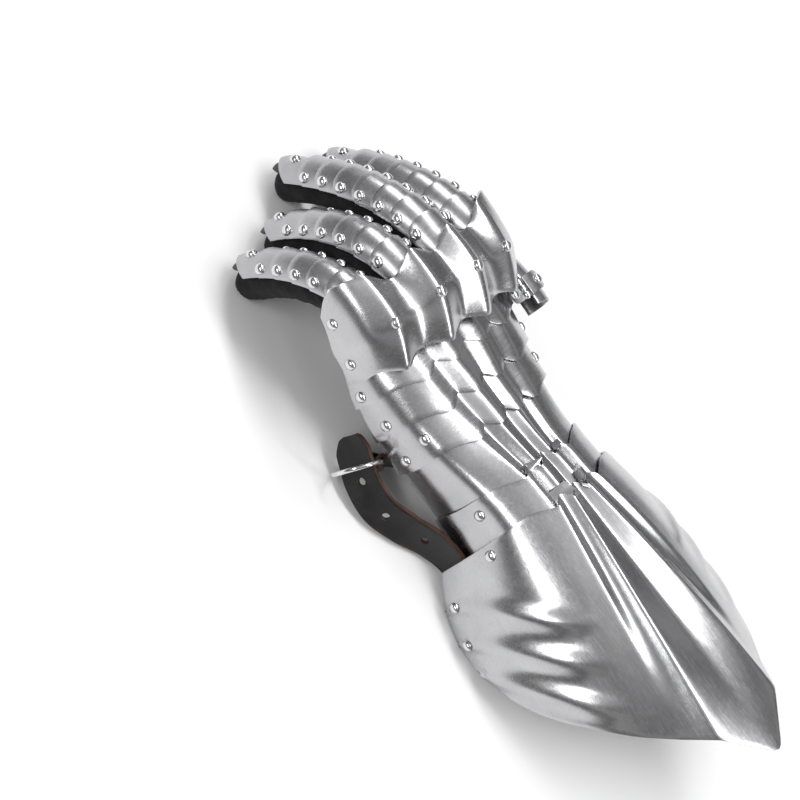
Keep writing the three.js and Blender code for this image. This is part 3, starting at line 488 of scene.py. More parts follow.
@dataclass(frozen=True)
class GrainLeather:
    """Smooth leather with a fine grain."""

    name: str
    color: tuple[float, float, float]
    rubbed: tuple[float, float, float]
    roughness: tuple[float, float] = (0.42, 0.62)
    grain_scale: float = 1250.0
    depth: float = 0.35

    def build(self) -> bpy.types.Material:
        """Make the material."""
        bench = NodeBench(self.name)
        shader = bench.shader
        grain = bench.cells(self.grain_scale)
        rubs = bench.noise(130.0, 5.0)
        bench.link(bench.blend(bench.spread(rubs, 0, 1, 0.38, 0.7), self.color, self.rubbed), shader.inputs["Base Color"])
        bench.link(bench.spread(rubs, *self.roughness), shader.inputs["Roughness"])
        folds = bench.bump(bench.noise(210.0, 4.0), 0.25, 0.0006)
        bench.link(bench.bump(grain, self.depth, 0.0003, folds), shader.inputs["Normal"])
        return bench.material


@dataclass(frozen=True)
class PaleFloor:
    """Matt pale studio floor."""

    name: str
    color: tuple[float, float, float] = (0.86, 0.86, 0.86)

    def build(self) -> bpy.types.Material:
        """Make the material."""
        bench = NodeBench(self.name)
        tone = bench.spread(bench.noise(3.0), 0, 1)
        shade = tuple(c * 0.985 for c in self.color)
        bench.link(bench.blend(tone, self.color, shade), bench.shader.inputs["Base Color"])
        bench.shader.inputs["Roughness"].default_value = 0.8
        return bench.material


@dataclass
class Finishes:
    """Every finish of the gauntlet, made once."""

    cuff_steel: bpy.types.Material = field(init=False)
    back_steel: bpy.types.Material = field(init=False)
    lame_steel: bpy.types.Material = field(init=False)
    rivet: bpy.types.Material = field(init=False)
    wire: bpy.types.Material = field(init=False)
    suede: bpy.types.Material = field(init=False)
    strip: bpy.types.Material = field(init=False)
    strap: bpy.types.Material = field(init=False)
    raw_edge: bpy.types.Material = field(init=False)

    def __post_init__(self) -> None:
        """Build the materials."""
        self.cuff_steel = SatinSteel("cuff_satin_steel").build()
        self.back_steel = SatinSteel("back_satin_steel", brushed_along=(1500, 120, 1500), roughest=0.28).build()
        self.lame_steel = SatinSteel(
            "lame_satin_steel",
            bright=(0.52, 0.52, 0.53),
            dull=(0.42, 0.42, 0.435),
            smoothest=0.26,
            roughest=0.38,
            brushed_along=(1800, 160, 1800),
        ).build()
        self.rivet = PolishedSteel("polished_rivet").build()
        self.wire = PolishedSteel("plated_wire", roughness=(0.08, 0.2)).build()
        self.suede = Suede("black_suede").build()
        self.strip = GrainLeather("dark_grey_leather", (0.028, 0.028, 0.028), (0.055, 0.055, 0.054)).build()
        self.strap = GrainLeather("black_strap_leather", (0.003, 0.0026, 0.0025), (0.010, 0.008, 0.0075), (0.32, 0.5)).build()
        self.raw_edge = GrainLeather(
            "brown_raw_edge", (0.05, 0.018, 0.011), (0.12, 0.05, 0.032), (0.6, 0.85), 2200.0, 0.8
        ).build()


# ------------------------------------------------------------------ rivets
@dataclass
class RivetSet:
    """Round-headed rivets: one head is modelled, and the others are copies."""

    material: bpy.types.Material
    radius: float = 2.85
    height: float = 2.05
    sunk: float = 0.7
    segments: int = 20
    rings: int = 12
    head: bpy.types.Mesh = field(init=False)

    def __post_init__(self) -> None:
        """Model the head: a ball cut at its middle, drawn down into a short neck."""
        bpy.ops.object.select_all(action="DESELECT")
        bpy.ops.mesh.primitive_uv_sphere_add(
            segments=self.segments, ring_count=self.rings, radius=self.radius * MM, location=(0, 0, 0)
        )
        ball = bpy.context.object
        bpy.ops.object.mode_set(mode="EDIT")
        bpy.ops.mesh.select_all(action="SELECT")
        bpy.ops.mesh.bisect(plane_co=(0, 0, 0), plane_no=(0, 0, 1), clear_inner=True, use_fill=False)
        bpy.ops.mesh.select_all(action="SELECT")
        bpy.ops.transform.resize(value=(1, 1, self.height / self.radius), center_override=(0, 0, 0))
        bpy.ops.mesh.select_all(action="DESELECT")
        bpy.ops.mesh.select_non_manifold()
        bpy.ops.mesh.extrude_region_move(TRANSFORM_OT_translate={"value": (0, 0, -self.sunk * MM)})
        bpy.ops.mesh.fill()
        bpy.ops.mesh.select_all(action="SELECT")
        bpy.ops.mesh.normals_make_consistent(inside=False)
        bpy.ops.object.mode_set(mode="OBJECT")
        ball.data.materials.append(self.material)
        Workshop.smooth(ball, 50)
        self.head = ball.data
        bpy.data.objects.remove(ball)

    def put(self, point: Vector, normal: Vector) -> bpy.types.Object:
        """One rivet head.

        Args:
            point: Its foot on the plate's face, in millimetres.
            normal: The plate's outward normal.

        Returns:
            The new object.
        """
        mesh = self.head.copy()
        turn = normal.to_track_quat("Z", "Y").to_matrix().to_4x4()
        mesh.transform(Matrix.Translation(Workshop.place(point)) @ turn)
        piece = bpy.data.objects.new("rivet", mesh)
        bpy.context.scene.collection.objects.link(piece)
        return piece


@dataclass
class PlateShop:
    """Turns sheets of points into finished steel plates."""

    finishes: Finishes
    rivets: RivetSet

    def plate(
        self,
        name: str,
        node: str,
        rows: Rows,
        outward: Vector,
        steel: bpy.types.Material,
        thickness: float,
        rivets: Sequence[tuple[Vector, Vector]],
    ) -> None:
        """Make one plate with its rivets.

        Args:
            name: The piece's name.
            node: The solid it stands for.
            rows: Its outer face.
            outward: The side that its outer face looks to.
            steel: Its finish.
            thickness: Its wall in millimetres.
            rivets: Foot and normal of each rivet.
        """
        piece = Workshop.sheet_piece(name, rows, outward)
        piece.data.materials.append(steel)
        Workshop.thicken(piece, thickness, 0.22)
        Workshop.smooth(piece, 32)
        Workshop.join(piece, [self.rivets.put(point, normal) for point, normal in rivets])
        Workshop.hand_in(piece, Slot.STEEL, node)


# ------------------------------------------------------------------ back of the hand
@dataclass(frozen=True)
class BackSection:
    """One section across the back: half widths and heights of its named places."""

    x: float
    inner: tuple[float, float]
    outer: tuple[float, float]
    shoulder: tuple[float, float]
    hem: tuple[float, float]
    thumb_cut: float


@dataclass(frozen=True)
class BackLame:
    """One lame: its edges in the valleys, its lift at each, and its rivets (x, reach)."""

    name: str
    start: float
    end: float
    low: float
    high: float
    rivets: tuple[tuple[float, float], ...]


@dataclass
class BackOfHand:
    """The five shingled lames between the knuckle plate and the cuff."""

    shop: PlateShop
    cuts: int = 7
    steps: int = 8
    sections: tuple[BackSection, ...] = (
        BackSection(4, (12.0, 67.0), (31.0, 62.5), (46.0, 51.0), (49.0, 38.0), 10),
        BackSection(14, (10.8, 64.5), (29.0, 60.5), (44.5, 49.5), (48.5, 33.0), 10),
        BackSection(28, (9.5, 61.0), (27.0, 58.0), (42.0, 48.0), (47.0, 28.0), 9),
        BackSection(46, (7.0, 57.5), (23.5, 54.0), (39.0, 46.0), (44.5, 22.5), 6),
        BackSection(65, (6.2, 56.5), (19.5, 53.5), (36.0, 45.5), (41.5, 18.0), 2),
        BackSection(80, (5.8, 58.5), (16.5, 56.0), (34.0, 46.5), (39.0, 15.0), 0),
        BackSection(95, (5.6, 61.5), (14.5, 59.5), (33.0, 48.5), (38.0, 13.0), 0),
        BackSection(122, (6.4, 64.5), (15.5, 62.5), (34.5, 50.0), (40.5, 11.0), 0),
    )
    lames: tuple[BackLame, ...] = (
        BackLame("back_lame_1", 5, 22, 0, LIFT, ((17, 0.9),)),
        BackLame("back_lame_2", 14, 40, 0, LIFT, ((34, 0.86),)),
        BackLame("back_lame_3", 31, 59, 0, LIFT, ((49, 0.72), (53, 0.9))),
        BackLame("back_lame_4", 50, 97, 0, 0, ()),
        BackLame("wrist_lame", 86, 113, 2.0, 2.0, ((93, 0.78),)),
    )
    swings: tuple[float, ...] = (0, 1, 0, 1, 0.35, 0.1, 0, -0.35)
    folds: tuple[bool, ...] = (True, True, True, True, False, False, False, False)

    def places(self, x: float, side: int) -> list[Vector]:
        """Named places of half a section, centre to hem, each with its own swing along x."""
        made = []
        for k, swing in enumerate(self.swings):
            at = x + swing * ZIGZAG
            upper = next((i for i, s in enumerate(self.sections) if s.x > at), len(self.sections) - 1)
            upper = max(upper, 1)
            a, b = self.sections[upper - 1], self.sections[upper]
            t = clamp((at - a.x) / (b.x - a.x), 0, 1)
            inner, outer, shoulder, hem = (
                (mix(p[0], q[0], t), mix(p[1], q[1], t))
                for p, q in ((a.inner, b.inner), (a.outer, b.outer), (a.shoulder, b.shoulder), (a.hem, b.hem))
            )
            spots = (
                (0.0, inner[1] - FLUTE_DEPTH),
                inner,
                ((inner[0] + outer[0]) / 2, (inner[1] + outer[1]) / 2 - FLUTE_DEPTH),
                outer,
                (mix(outer[0], shoulder[0], 0.55), mix(outer[1], shoulder[1], 0.42)),
                shoulder,
                (mix(shoulder[0], hem[0], 0.78), mix(shoulder[1], hem[1], 0.45)),
                hem,
            )
            cut = mix(a.thumb_cut, b.thumb_cut, t) * {6: 0.55, 7: 1.0}.get(k, 0.0) if side > 0 else 0.0
            made.append(Vector((at, spots[k][0] * side, spots[k][1] + cut)))
        return made

    def sheet(self, lame: BackLame) -> Rows:
        """Outer face of one lame."""
        rows = []
        for i in range(self.steps + 1):
            x = mix(lame.start, lame.end, i / self.steps)
            thumb = across_folds(self.places(x, Hand.THUMB.value), self.folds, self.cuts)
            little = across_folds(self.places(x, Hand.LITTLE_FINGER.value), self.folds, self.cuts)
            rows.append([*reversed(little[1:]), *thumb])
        rows = soften(rows, 2)
        lifted = []
        for i, (row, normals) in enumerate(zip(rows, sheet_normals(rows))):
            lift = mix(lame.low, lame.high, i / self.steps)
            lifted.append([p + upright(n, p) * lift for p, n in zip(row, normals)])
        return lifted

    def build(self) -> None:
        """Make the lames."""
        for lame in self.lames:
            rows = self.sheet(lame)
            spots = []
            for x, reach in lame.rivets:
                along = (x - lame.start) / (lame.end - lame.start)
                spots += [on_sheet(rows, along, 0.5 + side.value * reach / 2) for side in Hand]
            self.shop.plate(
                f"{lame.name}_plate", lame.name, rows, Vector((0, 0, 1)), self.shop.finishes.back_steel, STEEL, spots
            )


# ------------------------------------------------------------------ plates between fold lines
@dataclass(frozen=True)
class FoldLine:
    """A line of a plate, through its front, middle and rear points."""

    sharp: bool
    front: tuple[float, float, float]
    middle: tuple[float, float, float]
    rear: tuple[float, float, float]


def lined_sheet(lines: Sequence[FoldLine], curve: Callable[[FoldLine, float], Vector], steps: int, cuts: int) -> Rows:
    """Full-width sheet from a half table of lines.

    Args:
        lines: Lines from the middle to the hem on the thumb side.
        curve: Point of a line at a share of its length.
        steps: Parts along the lines.
        cuts: Parts between two lines.

    Returns:
        The rows, from the little-finger hem to the thumb hem.
    """
    sharp = [line.sharp for line in lines]
    rows = []
    for i in range(steps + 1):
        half = across_folds([curve(line, i / steps) for line in lines], sharp, cuts)
        rows.append([Vector((p.x, -p.y, p.z)) for p in reversed(half[1:])] + half)
    return rows


@dataclass
class KnucklePlate:
    """The plate over the knuckles: four crests, a ridge at the rivets and rounded flaps."""

    shop: PlateShop
    steps: int = 18
    cuts: int = 9
    bow: float = 0.9
    lobe: float = 1.0
    lines: tuple[FoldLine, ...] = (
        FoldLine(False, (-17, 0, 84.0), (0, 0, 84.0), (15, 0, 71.5)),
        FoldLine(True, (-25, 13, 88.0), (0, 13, 88.6), (21.5, 13, 73.5)),
        FoldLine(False, (-18, 26, 80.6), (0, 26, 81.2), (15, 26, 69.0)),
        FoldLine(True, (-26, 39, 83.0), (0, 39, 81.6), (20, 39, 67.5)),
        FoldLine(False, (-29, 49.0, 78.0), (-2, 50.5, 73.0), (13, 49.5, 61.5)),
        FoldLine(False, (-29, 54.0, 69.5), (-5, 54.8, 61.0), (12, 53.0, 53.0)),
        FoldLine(False, (-23, 55.6, 59.0), (-7, 56.0, 50.5), (9, 54.5, 44.0)),
    )
    rivet_spots: tuple[tuple[float, float], ...] = ((0.5, 1.0), (0.5, 3.0), (0.24, 5.35), (0.74, 5.35))

    def curve(self, line: FoldLine, t: float) -> Vector:
        """Straight from finger edge to ridge and on to the rear edge, slightly bowed."""
        front, ridge, rear = Vector(line.front), Vector(line.middle), Vector(line.rear)
        point = front.lerp(ridge, t * 2) if t < 0.5 else ridge.lerp(rear, t * 2 - 1)
        return point + Vector((0, 0, self.bow * math.sin(2 * math.pi * abs(t - 0.5))))

    def build(self) -> None:
        """Make the plate."""
        rows = lined_sheet(self.lines, self.curve, self.steps, self.cuts)
        rows = soften(rows, 2, 1)
        width = (len(self.lines) - 1) * 2
        spots = [
            on_sheet(rows, along, 0.5 + side.value * line / width) for side in Hand for along, line in self.rivet_spots
        ]
        self.shop.plate(
            "knuckle_plate_steel", "knuckle_plate", rows, Vector((0, 0, 1)), self.shop.finishes.back_steel, STEEL, spots
        )


@dataclass(frozen=True)
class WingFlute:
    """A raised flute of the cuff's wing, from its hem end to its upper end, as (x, reach)."""

    start: tuple[float, float]
    end: tuple[float, float]


@dataclass
class Cuff:
    """The pointed cuff with fanned flutes and three embossed flutes on each wing."""

    shop: PlateShop
    steps: int = 44
    cuts: int = 10
    flute_height: float = 2.4
    flute_width: float = 0.085
    lines: tuple[FoldLine, ...] = (
        FoldLine(True, (106, 0, 65.2), (185, 0, 68.2), (263, 0, 73.0)),
        FoldLine(True, (112, 5.6, 68.2), (175, 14.5, 71.2), (240, 22.0, 69.5)),
        FoldLine(False, (107, 10.0, 65.4), (172, 19.5, 67.0), (235, 27.0, 64.5)),
        FoldLine(True, (111, 14.8, 66.6), (168, 25.0, 66.4), (229, 33.0, 58.5)),
        FoldLine(False, (106, 27.0, 60.0), (160, 36.5, 59.5), (216, 45.5, 49.5)),
        FoldLine(False, (106, 37.0, 52.5), (153, 47.5, 49.0), (203, 54.5, 40.0)),
        FoldLine(False, (106, 43.8, 40.0), (148, 55.5, 36.0), (190, 61.0, 28.0)),
        FoldLine(False, (106, 48.0, 24.0), (142, 60.5, 20.0), (174, 65.0, 16.0)),
        FoldLine(False, (106, 50.0, 7.0), (128, 59.5, 0.6), (152, 64.5, 3.6)),
    )
    flutes: tuple[WingFlute, ...] = (
        WingFlute((121, 0.97), (163, 0.50)),
        WingFlute((138, 0.97), (181, 0.53)),
        WingFlute((155, 0.97), (205, 0.52)),
    )
    rivet_spots: tuple[tuple[float, float], ...] = ((0.06, 0.37), (0.30, 0.475), (0.62, 0.475))

    @staticmethod
    def curve(line: FoldLine, t: float) -> Vector:
        """Quadratic curve through the line's three points."""
        a, b, c = Vector(line.front), Vector(line.middle), Vector(line.rear)
        return a * ((1 - t) * (1 - 2 * t)) + b * (4 * t * (1 - t)) + c * (t * (2 * t - 1))

    def emboss(self, x: float, reach: float) -> float:
        """Height of the wing flutes at x and at a share of the way from centre to hem."""
        height = 0.0
        for flute in self.flutes:
            t = (x - flute.start[0]) / (flute.end[0] - flute.start[0])
            if 0 <= t <= 1:
                line = mix(flute.start[1], flute.end[1], t ** 0.8)
                near = clamp(1 - abs(reach - line) / self.flute_width, 0, 1)
                fade = math.sin(math.pi * clamp(0.12 + t * 0.88, 0, 1)) ** 0.6
                height += self.flute_height * (near * near * (3 - 2 * near)) * fade
        return height

    def build(self) -> None:
        """Make the cuff."""
        rows = lined_sheet(self.lines, self.curve, self.steps, self.cuts)
        rows = soften(rows, 2)
        side = len(rows[0]) - 1
        raised = [
            [p + upright(n, p) * self.emboss(p.x, abs(2 * j / side - 1)) for j, (p, n) in enumerate(zip(row, normals))]
            for row, normals in zip(rows, sheet_normals(rows))
        ]
        spots = [on_sheet(raised, along, 0.5 + hand.value * reach) for hand in Hand for along, reach in self.rivet_spots]
        self.shop.plate("cuff_steel", "cuff", raised, Vector((0, 0, 1)), self.shop.finishes.cuff_steel, STEEL, spots)


# ------------------------------------------------------------------ fingers and thumb
FIRST_LAME_END = 22.0
LAME_PITCH = 12.3
LAME_LENGTH = 20.0
LAME_LIFT = 2.3
LAME_ARCH = 7.4
TIP_REACH = 20.0
STALL_RADIUS = 9.2
STALL_REACH = 6.0
FLOOR_DIP = 0.8
STRIP_DEPTH = LAME_STEEL + 2 * GAP
STRIP_LEATHER = 1.5
STALL_DEPTH = STRIP_DEPTH + STRIP_LEATHER + 2 * GAP + STALL_RADIUS
ARCH_ANGLE = math.radians(74)


@dataclass(frozen=True)
class DigitFrame:
    """Place and axes at a distance along a digit."""

    point: Vector
    forward: Vector
    normal: Vector
    side: Vector


@dataclass
class Digit:
    """A finger or the thumb: its outer line, lames, tip plate, strip and stall."""

    name: str
    start: Vector
    start_angle: float
    lames: int
    width: float
    ahead: Vector = field(default_factory=lambda: Vector((-1, 0, 0)))
    out: Vector = field(default_factory=lambda: Vector((0, 0, 1)))
    bias: float = 1.6
    first_end: float = FIRST_LAME_END
    stall_from: float = 4.0
    strip_from: float = 2.0
    end_angle: float = 0.0
    length: float = 0.0

    def __post_init__(self) -> None:
        """Find the length, and bend a finger until its soft tip meets the floor."""
        self.length = self.first_end + (self.lames - 1) * LAME_PITCH + TIP_REACH
        if self.end_angle:
            return
        low, high = 20.0, 120.0
        for _ in range(24):
            self.end_angle = (low + high) / 2
            rings = self.stall_rings(8, 7, STALL_RADIUS)
            if min(p.z for row in rings for p in row) > -FLOOR_DIP:
                low = self.end_angle
            else:
                high = self.end_angle

    def heading(self, distance: float) -> float:
        """Angle below the ahead axis, in radians, at a distance along the digit."""
        t = clamp(distance / self.length, 0, 1)
        return math.radians(mix(self.start_angle, self.end_angle, 1 - (1 - t) ** self.bias))

    def at(self, distance: float) -> DigitFrame:
        """Place and axes at a distance along the outer line."""
        point = self.start.copy()
        steps = max(1, round(abs(distance)))
        step = distance / steps
        for k in range(steps):
            angle = self.heading((k + 0.5) * step)
            point += self.ahead * (step * math.cos(angle)) - self.out * (step * math.sin(angle))
        angle = self.heading(distance)
        forward = self.ahead * math.cos(angle) - self.out * math.sin(angle)
        normal = self.out * math.cos(angle) + self.ahead * math.sin(angle)
        return DigitFrame(point, forward, normal, forward.cross(normal))

    def arch(self, here: DigitFrame, across: float, lift: float) -> Vector:
        """Point of a lame's arch; across is -1 to 1 and lift is along the arch's normal."""
        angle = ARCH_ANGLE * across
        wide = self.width / 2 / math.sin(ARCH_ANGLE)
        tall = LAME_ARCH / (1 - math.cos(ARCH_ANGLE))
        size = math.hypot(tall * math.sin(angle), wide * math.cos(angle))
        sideways = wide * math.sin(angle) + lift * tall * math.sin(angle) / size
        up = tall * (math.cos(angle) - 1) + lift * wide * math.cos(angle) / size
        return here.point + here.side * sideways + here.normal * up

    def lame_sheet(
        self, start: float, end: float, low: float, high: float, draw: Callable[[float], float], steps: int = 6
    ) -> Rows:
        """Outer face of a lame.

        Args:
            start: Its covered edge along the digit.
            end: Its free edge.
            low: Lift at the covered edge.
            high: Lift at the free edge.
            draw: How far the free edge draws back at a share of the half width.
            steps: Parts along it.

        Returns:
            The rows.
        """
        across = [k / 9 - 1 for k in range(19)]
        rows = []
        for i in range(steps + 1):
            row = []
            for side in across:
                reach = mix(start, end - draw(abs(side)), i / steps)
                lift = mix(low, high, (reach - start) / (end - start))
                row.append(self.arch(self.at(reach), side, lift))
            rows.append(row)
        return rows

    def rivet_at(self, distance: float, across: float, lift: float) -> tuple[Vector, Vector]:
        """Foot and normal of a rivet on the digit's plates."""
        here = self.at(distance)
        point = self.arch(here, across, lift)
        beside = self.arch(here, across + 0.02, lift)
        normal = here.forward.cross(beside - point).normalized()
        return point, normal if normal.dot(here.normal) > 0 else -normal

    def stall_rings(self, sides: int, count: int, radius: float) -> Rows:
        """Rings of the stall's outer face, from its root to its rounded end."""
        reach = self.length + STALL_REACH
        straight = reach - radius * 0.8
        stops = [(mix(self.stall_from, straight, i / (count - 3)), 1.0) for i in range(count - 2)]
        if sides > 8:
            stops += [(straight + radius * 0.8 * math.sin(a), math.cos(a) ** 0.8) for a in (0.3, 0.6, 0.9, 1.15, 1.35)]
        else:
            stops += [(straight + radius * 0.55, 0.82), (straight + radius * 0.8, 0.42)]
        rings = []
        for distance, share in stops:
            here = self.at(distance)
            centre = here.point - here.normal * STALL_DEPTH
            turns = [math.pi / 8 + 2 * math.pi * k / sides for k in range(sides)]
            rings.append([
                centre + here.side * (radius * share * math.cos(a)) + here.normal * (radius * share * math.sin(a))
                for a in turns
            ])
        return rings

    @staticmethod
    def corners(across: float) -> float:
        """How far a lame's free edge draws back near its corners."""
        return 4.5 * max(0.0, (across - 0.6) / 0.4) ** 2

    @staticmethod
    def pointed(across: float) -> float:
        """How far the tip plate's sides stop short of its point."""
        return 10 * across ** 1.2

    def build_plates(self, shop: PlateShop) -> None:
        """Make the lames and the tip plate."""
        steel = shop.finishes.lame_steel
        for k in range(self.lames):
            end = self.first_end + k * LAME_PITCH
            rows = self.lame_sheet(end - LAME_LENGTH, end, 0, LAME_LIFT, self.corners)
            lift = LAME_LIFT * (1 - 5.0 / LAME_LENGTH)
            spots = [self.rivet_at(end - 5.0, side.value * 0.72, lift) for side in Hand]
            node = f"{self.name}_lame_{k + 1}"
            shop.plate(f"{node}_plate", node, rows, self.at(end - 10).normal, steel, LAME_STEEL, spots)
        start = self.first_end + self.lames * LAME_PITCH - LAME_LENGTH
        rows = self.lame_sheet(start, self.length, 0, 1.2, self.pointed, 10)
        lift = 1.2 * (1 - 10 / (self.length - start))
        spots = [self.rivet_at(self.length - 10, 0, lift)]
        node = f"{self.name}_tip_plate"
        shop.plate(f"{node}_steel", node, rows, self.at(self.length - 8).normal, steel, LAME_STEEL, spots)

    def build_strip(self, finishes: Finishes) -> None:
        """Make the smooth leather strip that carries the lames, with its seam."""
        rows = []
        parts = 60
        for i in range(parts + 1):
            reach = mix(self.strip_from, self.length + STALL_REACH - 2.2, i / parts)
            here = self.at(reach)
            narrow = 1 - 0.5 * clamp((reach - self.length + 4) / 9.5, 0, 1) ** 2.2
            row = []
            for j in range(17):
                across = j / 8 - 1
                seam = 0.35 * math.exp(-((across / 0.07) ** 2))
                row.append(self.arch(here, across * 0.6 * narrow, -STRIP_DEPTH - seam))
            rows.append([Vector((p.x, p.y, max(p.z, 0.05))) for p in row])
        piece = Workshop.sheet_piece(f"{self.name}_leather_strip", rows, self.at(self.length / 2).normal)
        piece.data.materials.append(finishes.strip)
        Workshop.thicken(piece, STRIP_LEATHER - 0.2, 0.4)
        Workshop.smooth(piece, 60)
        Workshop.hand_in(piece, Slot.STRIP, f"{self.name}_strip")

    def root_rings(self, sides: int) -> Rows:
        """Rings between the hand and the stall; a finger's has none."""
        return []

    def build_stall(self, finishes: Finishes) -> None:
        """Make the suede stall, creased where it bends and pressed flat on the floor."""
        sides = 32
        rings = self.root_rings(sides) + self.stall_rings(sides, 60, STALL_RADIUS - 0.2)
        for i, row in enumerate(rings):
            centre = sum(row, Vector()) / sides
            for j, p in enumerate(row):
                outwards = (p - centre).normalized()
                crumple = noise.noise(p * 0.16) * 0.5 + noise.noise(p * 0.45) * 0.25
                here = p + outwards * (crumple - 0.35)
                row[j] = Vector((here.x, here.y, max(here.z, 0.0)))
        piece = Workshop.tube_piece(f"{self.name}_suede_stall", rings, True)
        piece.data.materials.append(finishes.suede)
        Workshop.thicken(piece, LEATHER - 0.2, 0.3, angle=70)
        for vertex in piece.data.vertices:
            vertex.co.z = max(vertex.co.z, 0.0)
        Workshop.smooth(piece, 70)
        Workshop.hand_in(piece, Slot.SUEDE, f"{self.name}_stall")

    def build(self, shop: PlateShop) -> None:
        """Make every piece of the digit."""
        self.build_plates(shop)
        self.build_strip(shop.finishes)
        self.build_stall(shop.finishes)


THUMB_AHEAD = Vector((-0.99, 0, -0.1)).normalized()
THUMB_LEAN = Vector((0, 0.92, 0.36))
THUMB_OUT = (THUMB_LEAN - THUMB_AHEAD * THUMB_LEAN.dot(THUMB_AHEAD)).normalized()
THUMB_BASE_LENGTH = 56.0


@dataclass
class Thumb(Digit):
    """The thumb, with a long base plate and a stall that leaves the side of the hand."""

    root: Vector = field(default_factory=lambda: Vector((29, 39.7, 26)))
    root_along: float = 12.5
    root_tall: float = 8.0

    @staticmethod
    def base_ends(across: float) -> float:
        """How far the base plate's free edge draws back at its sides."""
        return 7 * max(0.0, (across - 0.4) / 0.6) ** 2

    def root_rings(self, sides: int) -> Rows:
        """Rings that carry the stall from the hand's side to the thumb's line."""
        along = Vector((0.93, 0.37, 0))
        turns = [2 * math.pi * k / sides for k in range(sides)]
        first = [
            self.root + along * (self.root_along * math.cos(a)) + Vector((0, 0, self.root_tall * math.sin(a)))
            for a in turns
        ]
        second, third = self.stall_rings(sides, 60, STALL_RADIUS - 0.2)[:2]
        parts = 8
        return [
            [catmull(a * 2 - b, a, b, b * 2 - a + (c - b), i / parts) for a, b, c in zip(first, second, third)]
            for i in range(parts)
        ]

    def build_base(self, shop: PlateShop) -> None:
        """Make the base plate."""
        rows = self.lame_sheet(0, THUMB_BASE_LENGTH, LAME_LIFT, LAME_LIFT, self.base_ends, 20)
        spots = [self.rivet_at(THUMB_BASE_LENGTH - 8, 0.35, LAME_LIFT)]
        shop.plate(
            "thumb_base_plate_steel",
            "thumb_base_plate",
            rows,
            self.at(THUMB_BASE_LENGTH / 2).normal,
            shop.finishes.lame_steel,
            LAME_STEEL,
            spots,
        )


# ------------------------------------------------------------------ glove
@dataclass(frozen=True)
class PalmSection:
    """Section of the glove's hand: half its width, its top and its underside."""

    x: float
    half: float
    top: float
    bottom: float


@dataclass
class GloveHand:
    """The suede hand of the glove, open at the wrist and at the fingers."""

    finishes: Finishes
    square: float = 2.3
    sides: int = 72
    parts: int = 10
    sections: tuple[PalmSection, ...] = (
        PalmSection(-10, 48, 71.0, 46.0),
        PalmSection(4, 44.5, 59.0, 35.0),
        PalmSection(20, 41, 55.5, 28.0),
        PalmSection(46, 37.5, 51.5, 22.0),
        PalmSection(68, 34.5, 50.5, 17.5),
        PalmSection(90, 32.5, 54.0, 15.0),
        PalmSection(124, 33.5, 58.5, 12.0),
    )

    def ring(self, section: Vector, half: float) -> list[Vector]:
        """Rounded outline of one section; section is (x, top, bottom)."""
        middle = (section.y + section.z) / 2
        tall = (section.y - section.z) / 2
        row = []
        for k in range(self.sides):
            angle = 2 * math.pi * (k + 0.5) / self.sides
            c, s = math.cos(angle), math.sin(angle)
            size = (abs(c) ** self.square + abs(s) ** self.square) ** (-1 / self.square)
            p = Vector((section.x, half * c * size, middle + tall * s * size))
            crease = noise.noise(p * 0.09) * 0.9 + noise.noise(p * 0.3) * 0.4 - 0.7
            row.append(p + Vector((0, c, s)) * crease)
        return row

    def build(self) -> None:
        """Make the hand."""
        facts = [Vector((s.x, s.top, s.bottom)) for s in self.sections]
        halves = [Vector((s.x, s.half, 0)) for s in self.sections]
        count = (len(facts) - 1) * self.parts
        rings = [
            self.ring(along_curve(facts, i / self.parts), along_curve(halves, i / self.parts).y)
            for i in range(count + 1)
        ]
        piece = Workshop.tube_piece("glove_suede_hand", rings, False)
        piece.data.materials.append(self.finishes.suede)
        Workshop.thicken(piece, LEATHER - 0.2, 0.5, angle=70)
        Workshop.smooth(piece, 70)
        Workshop.hand_in(piece, Slot.SUEDE, "glove_hand")


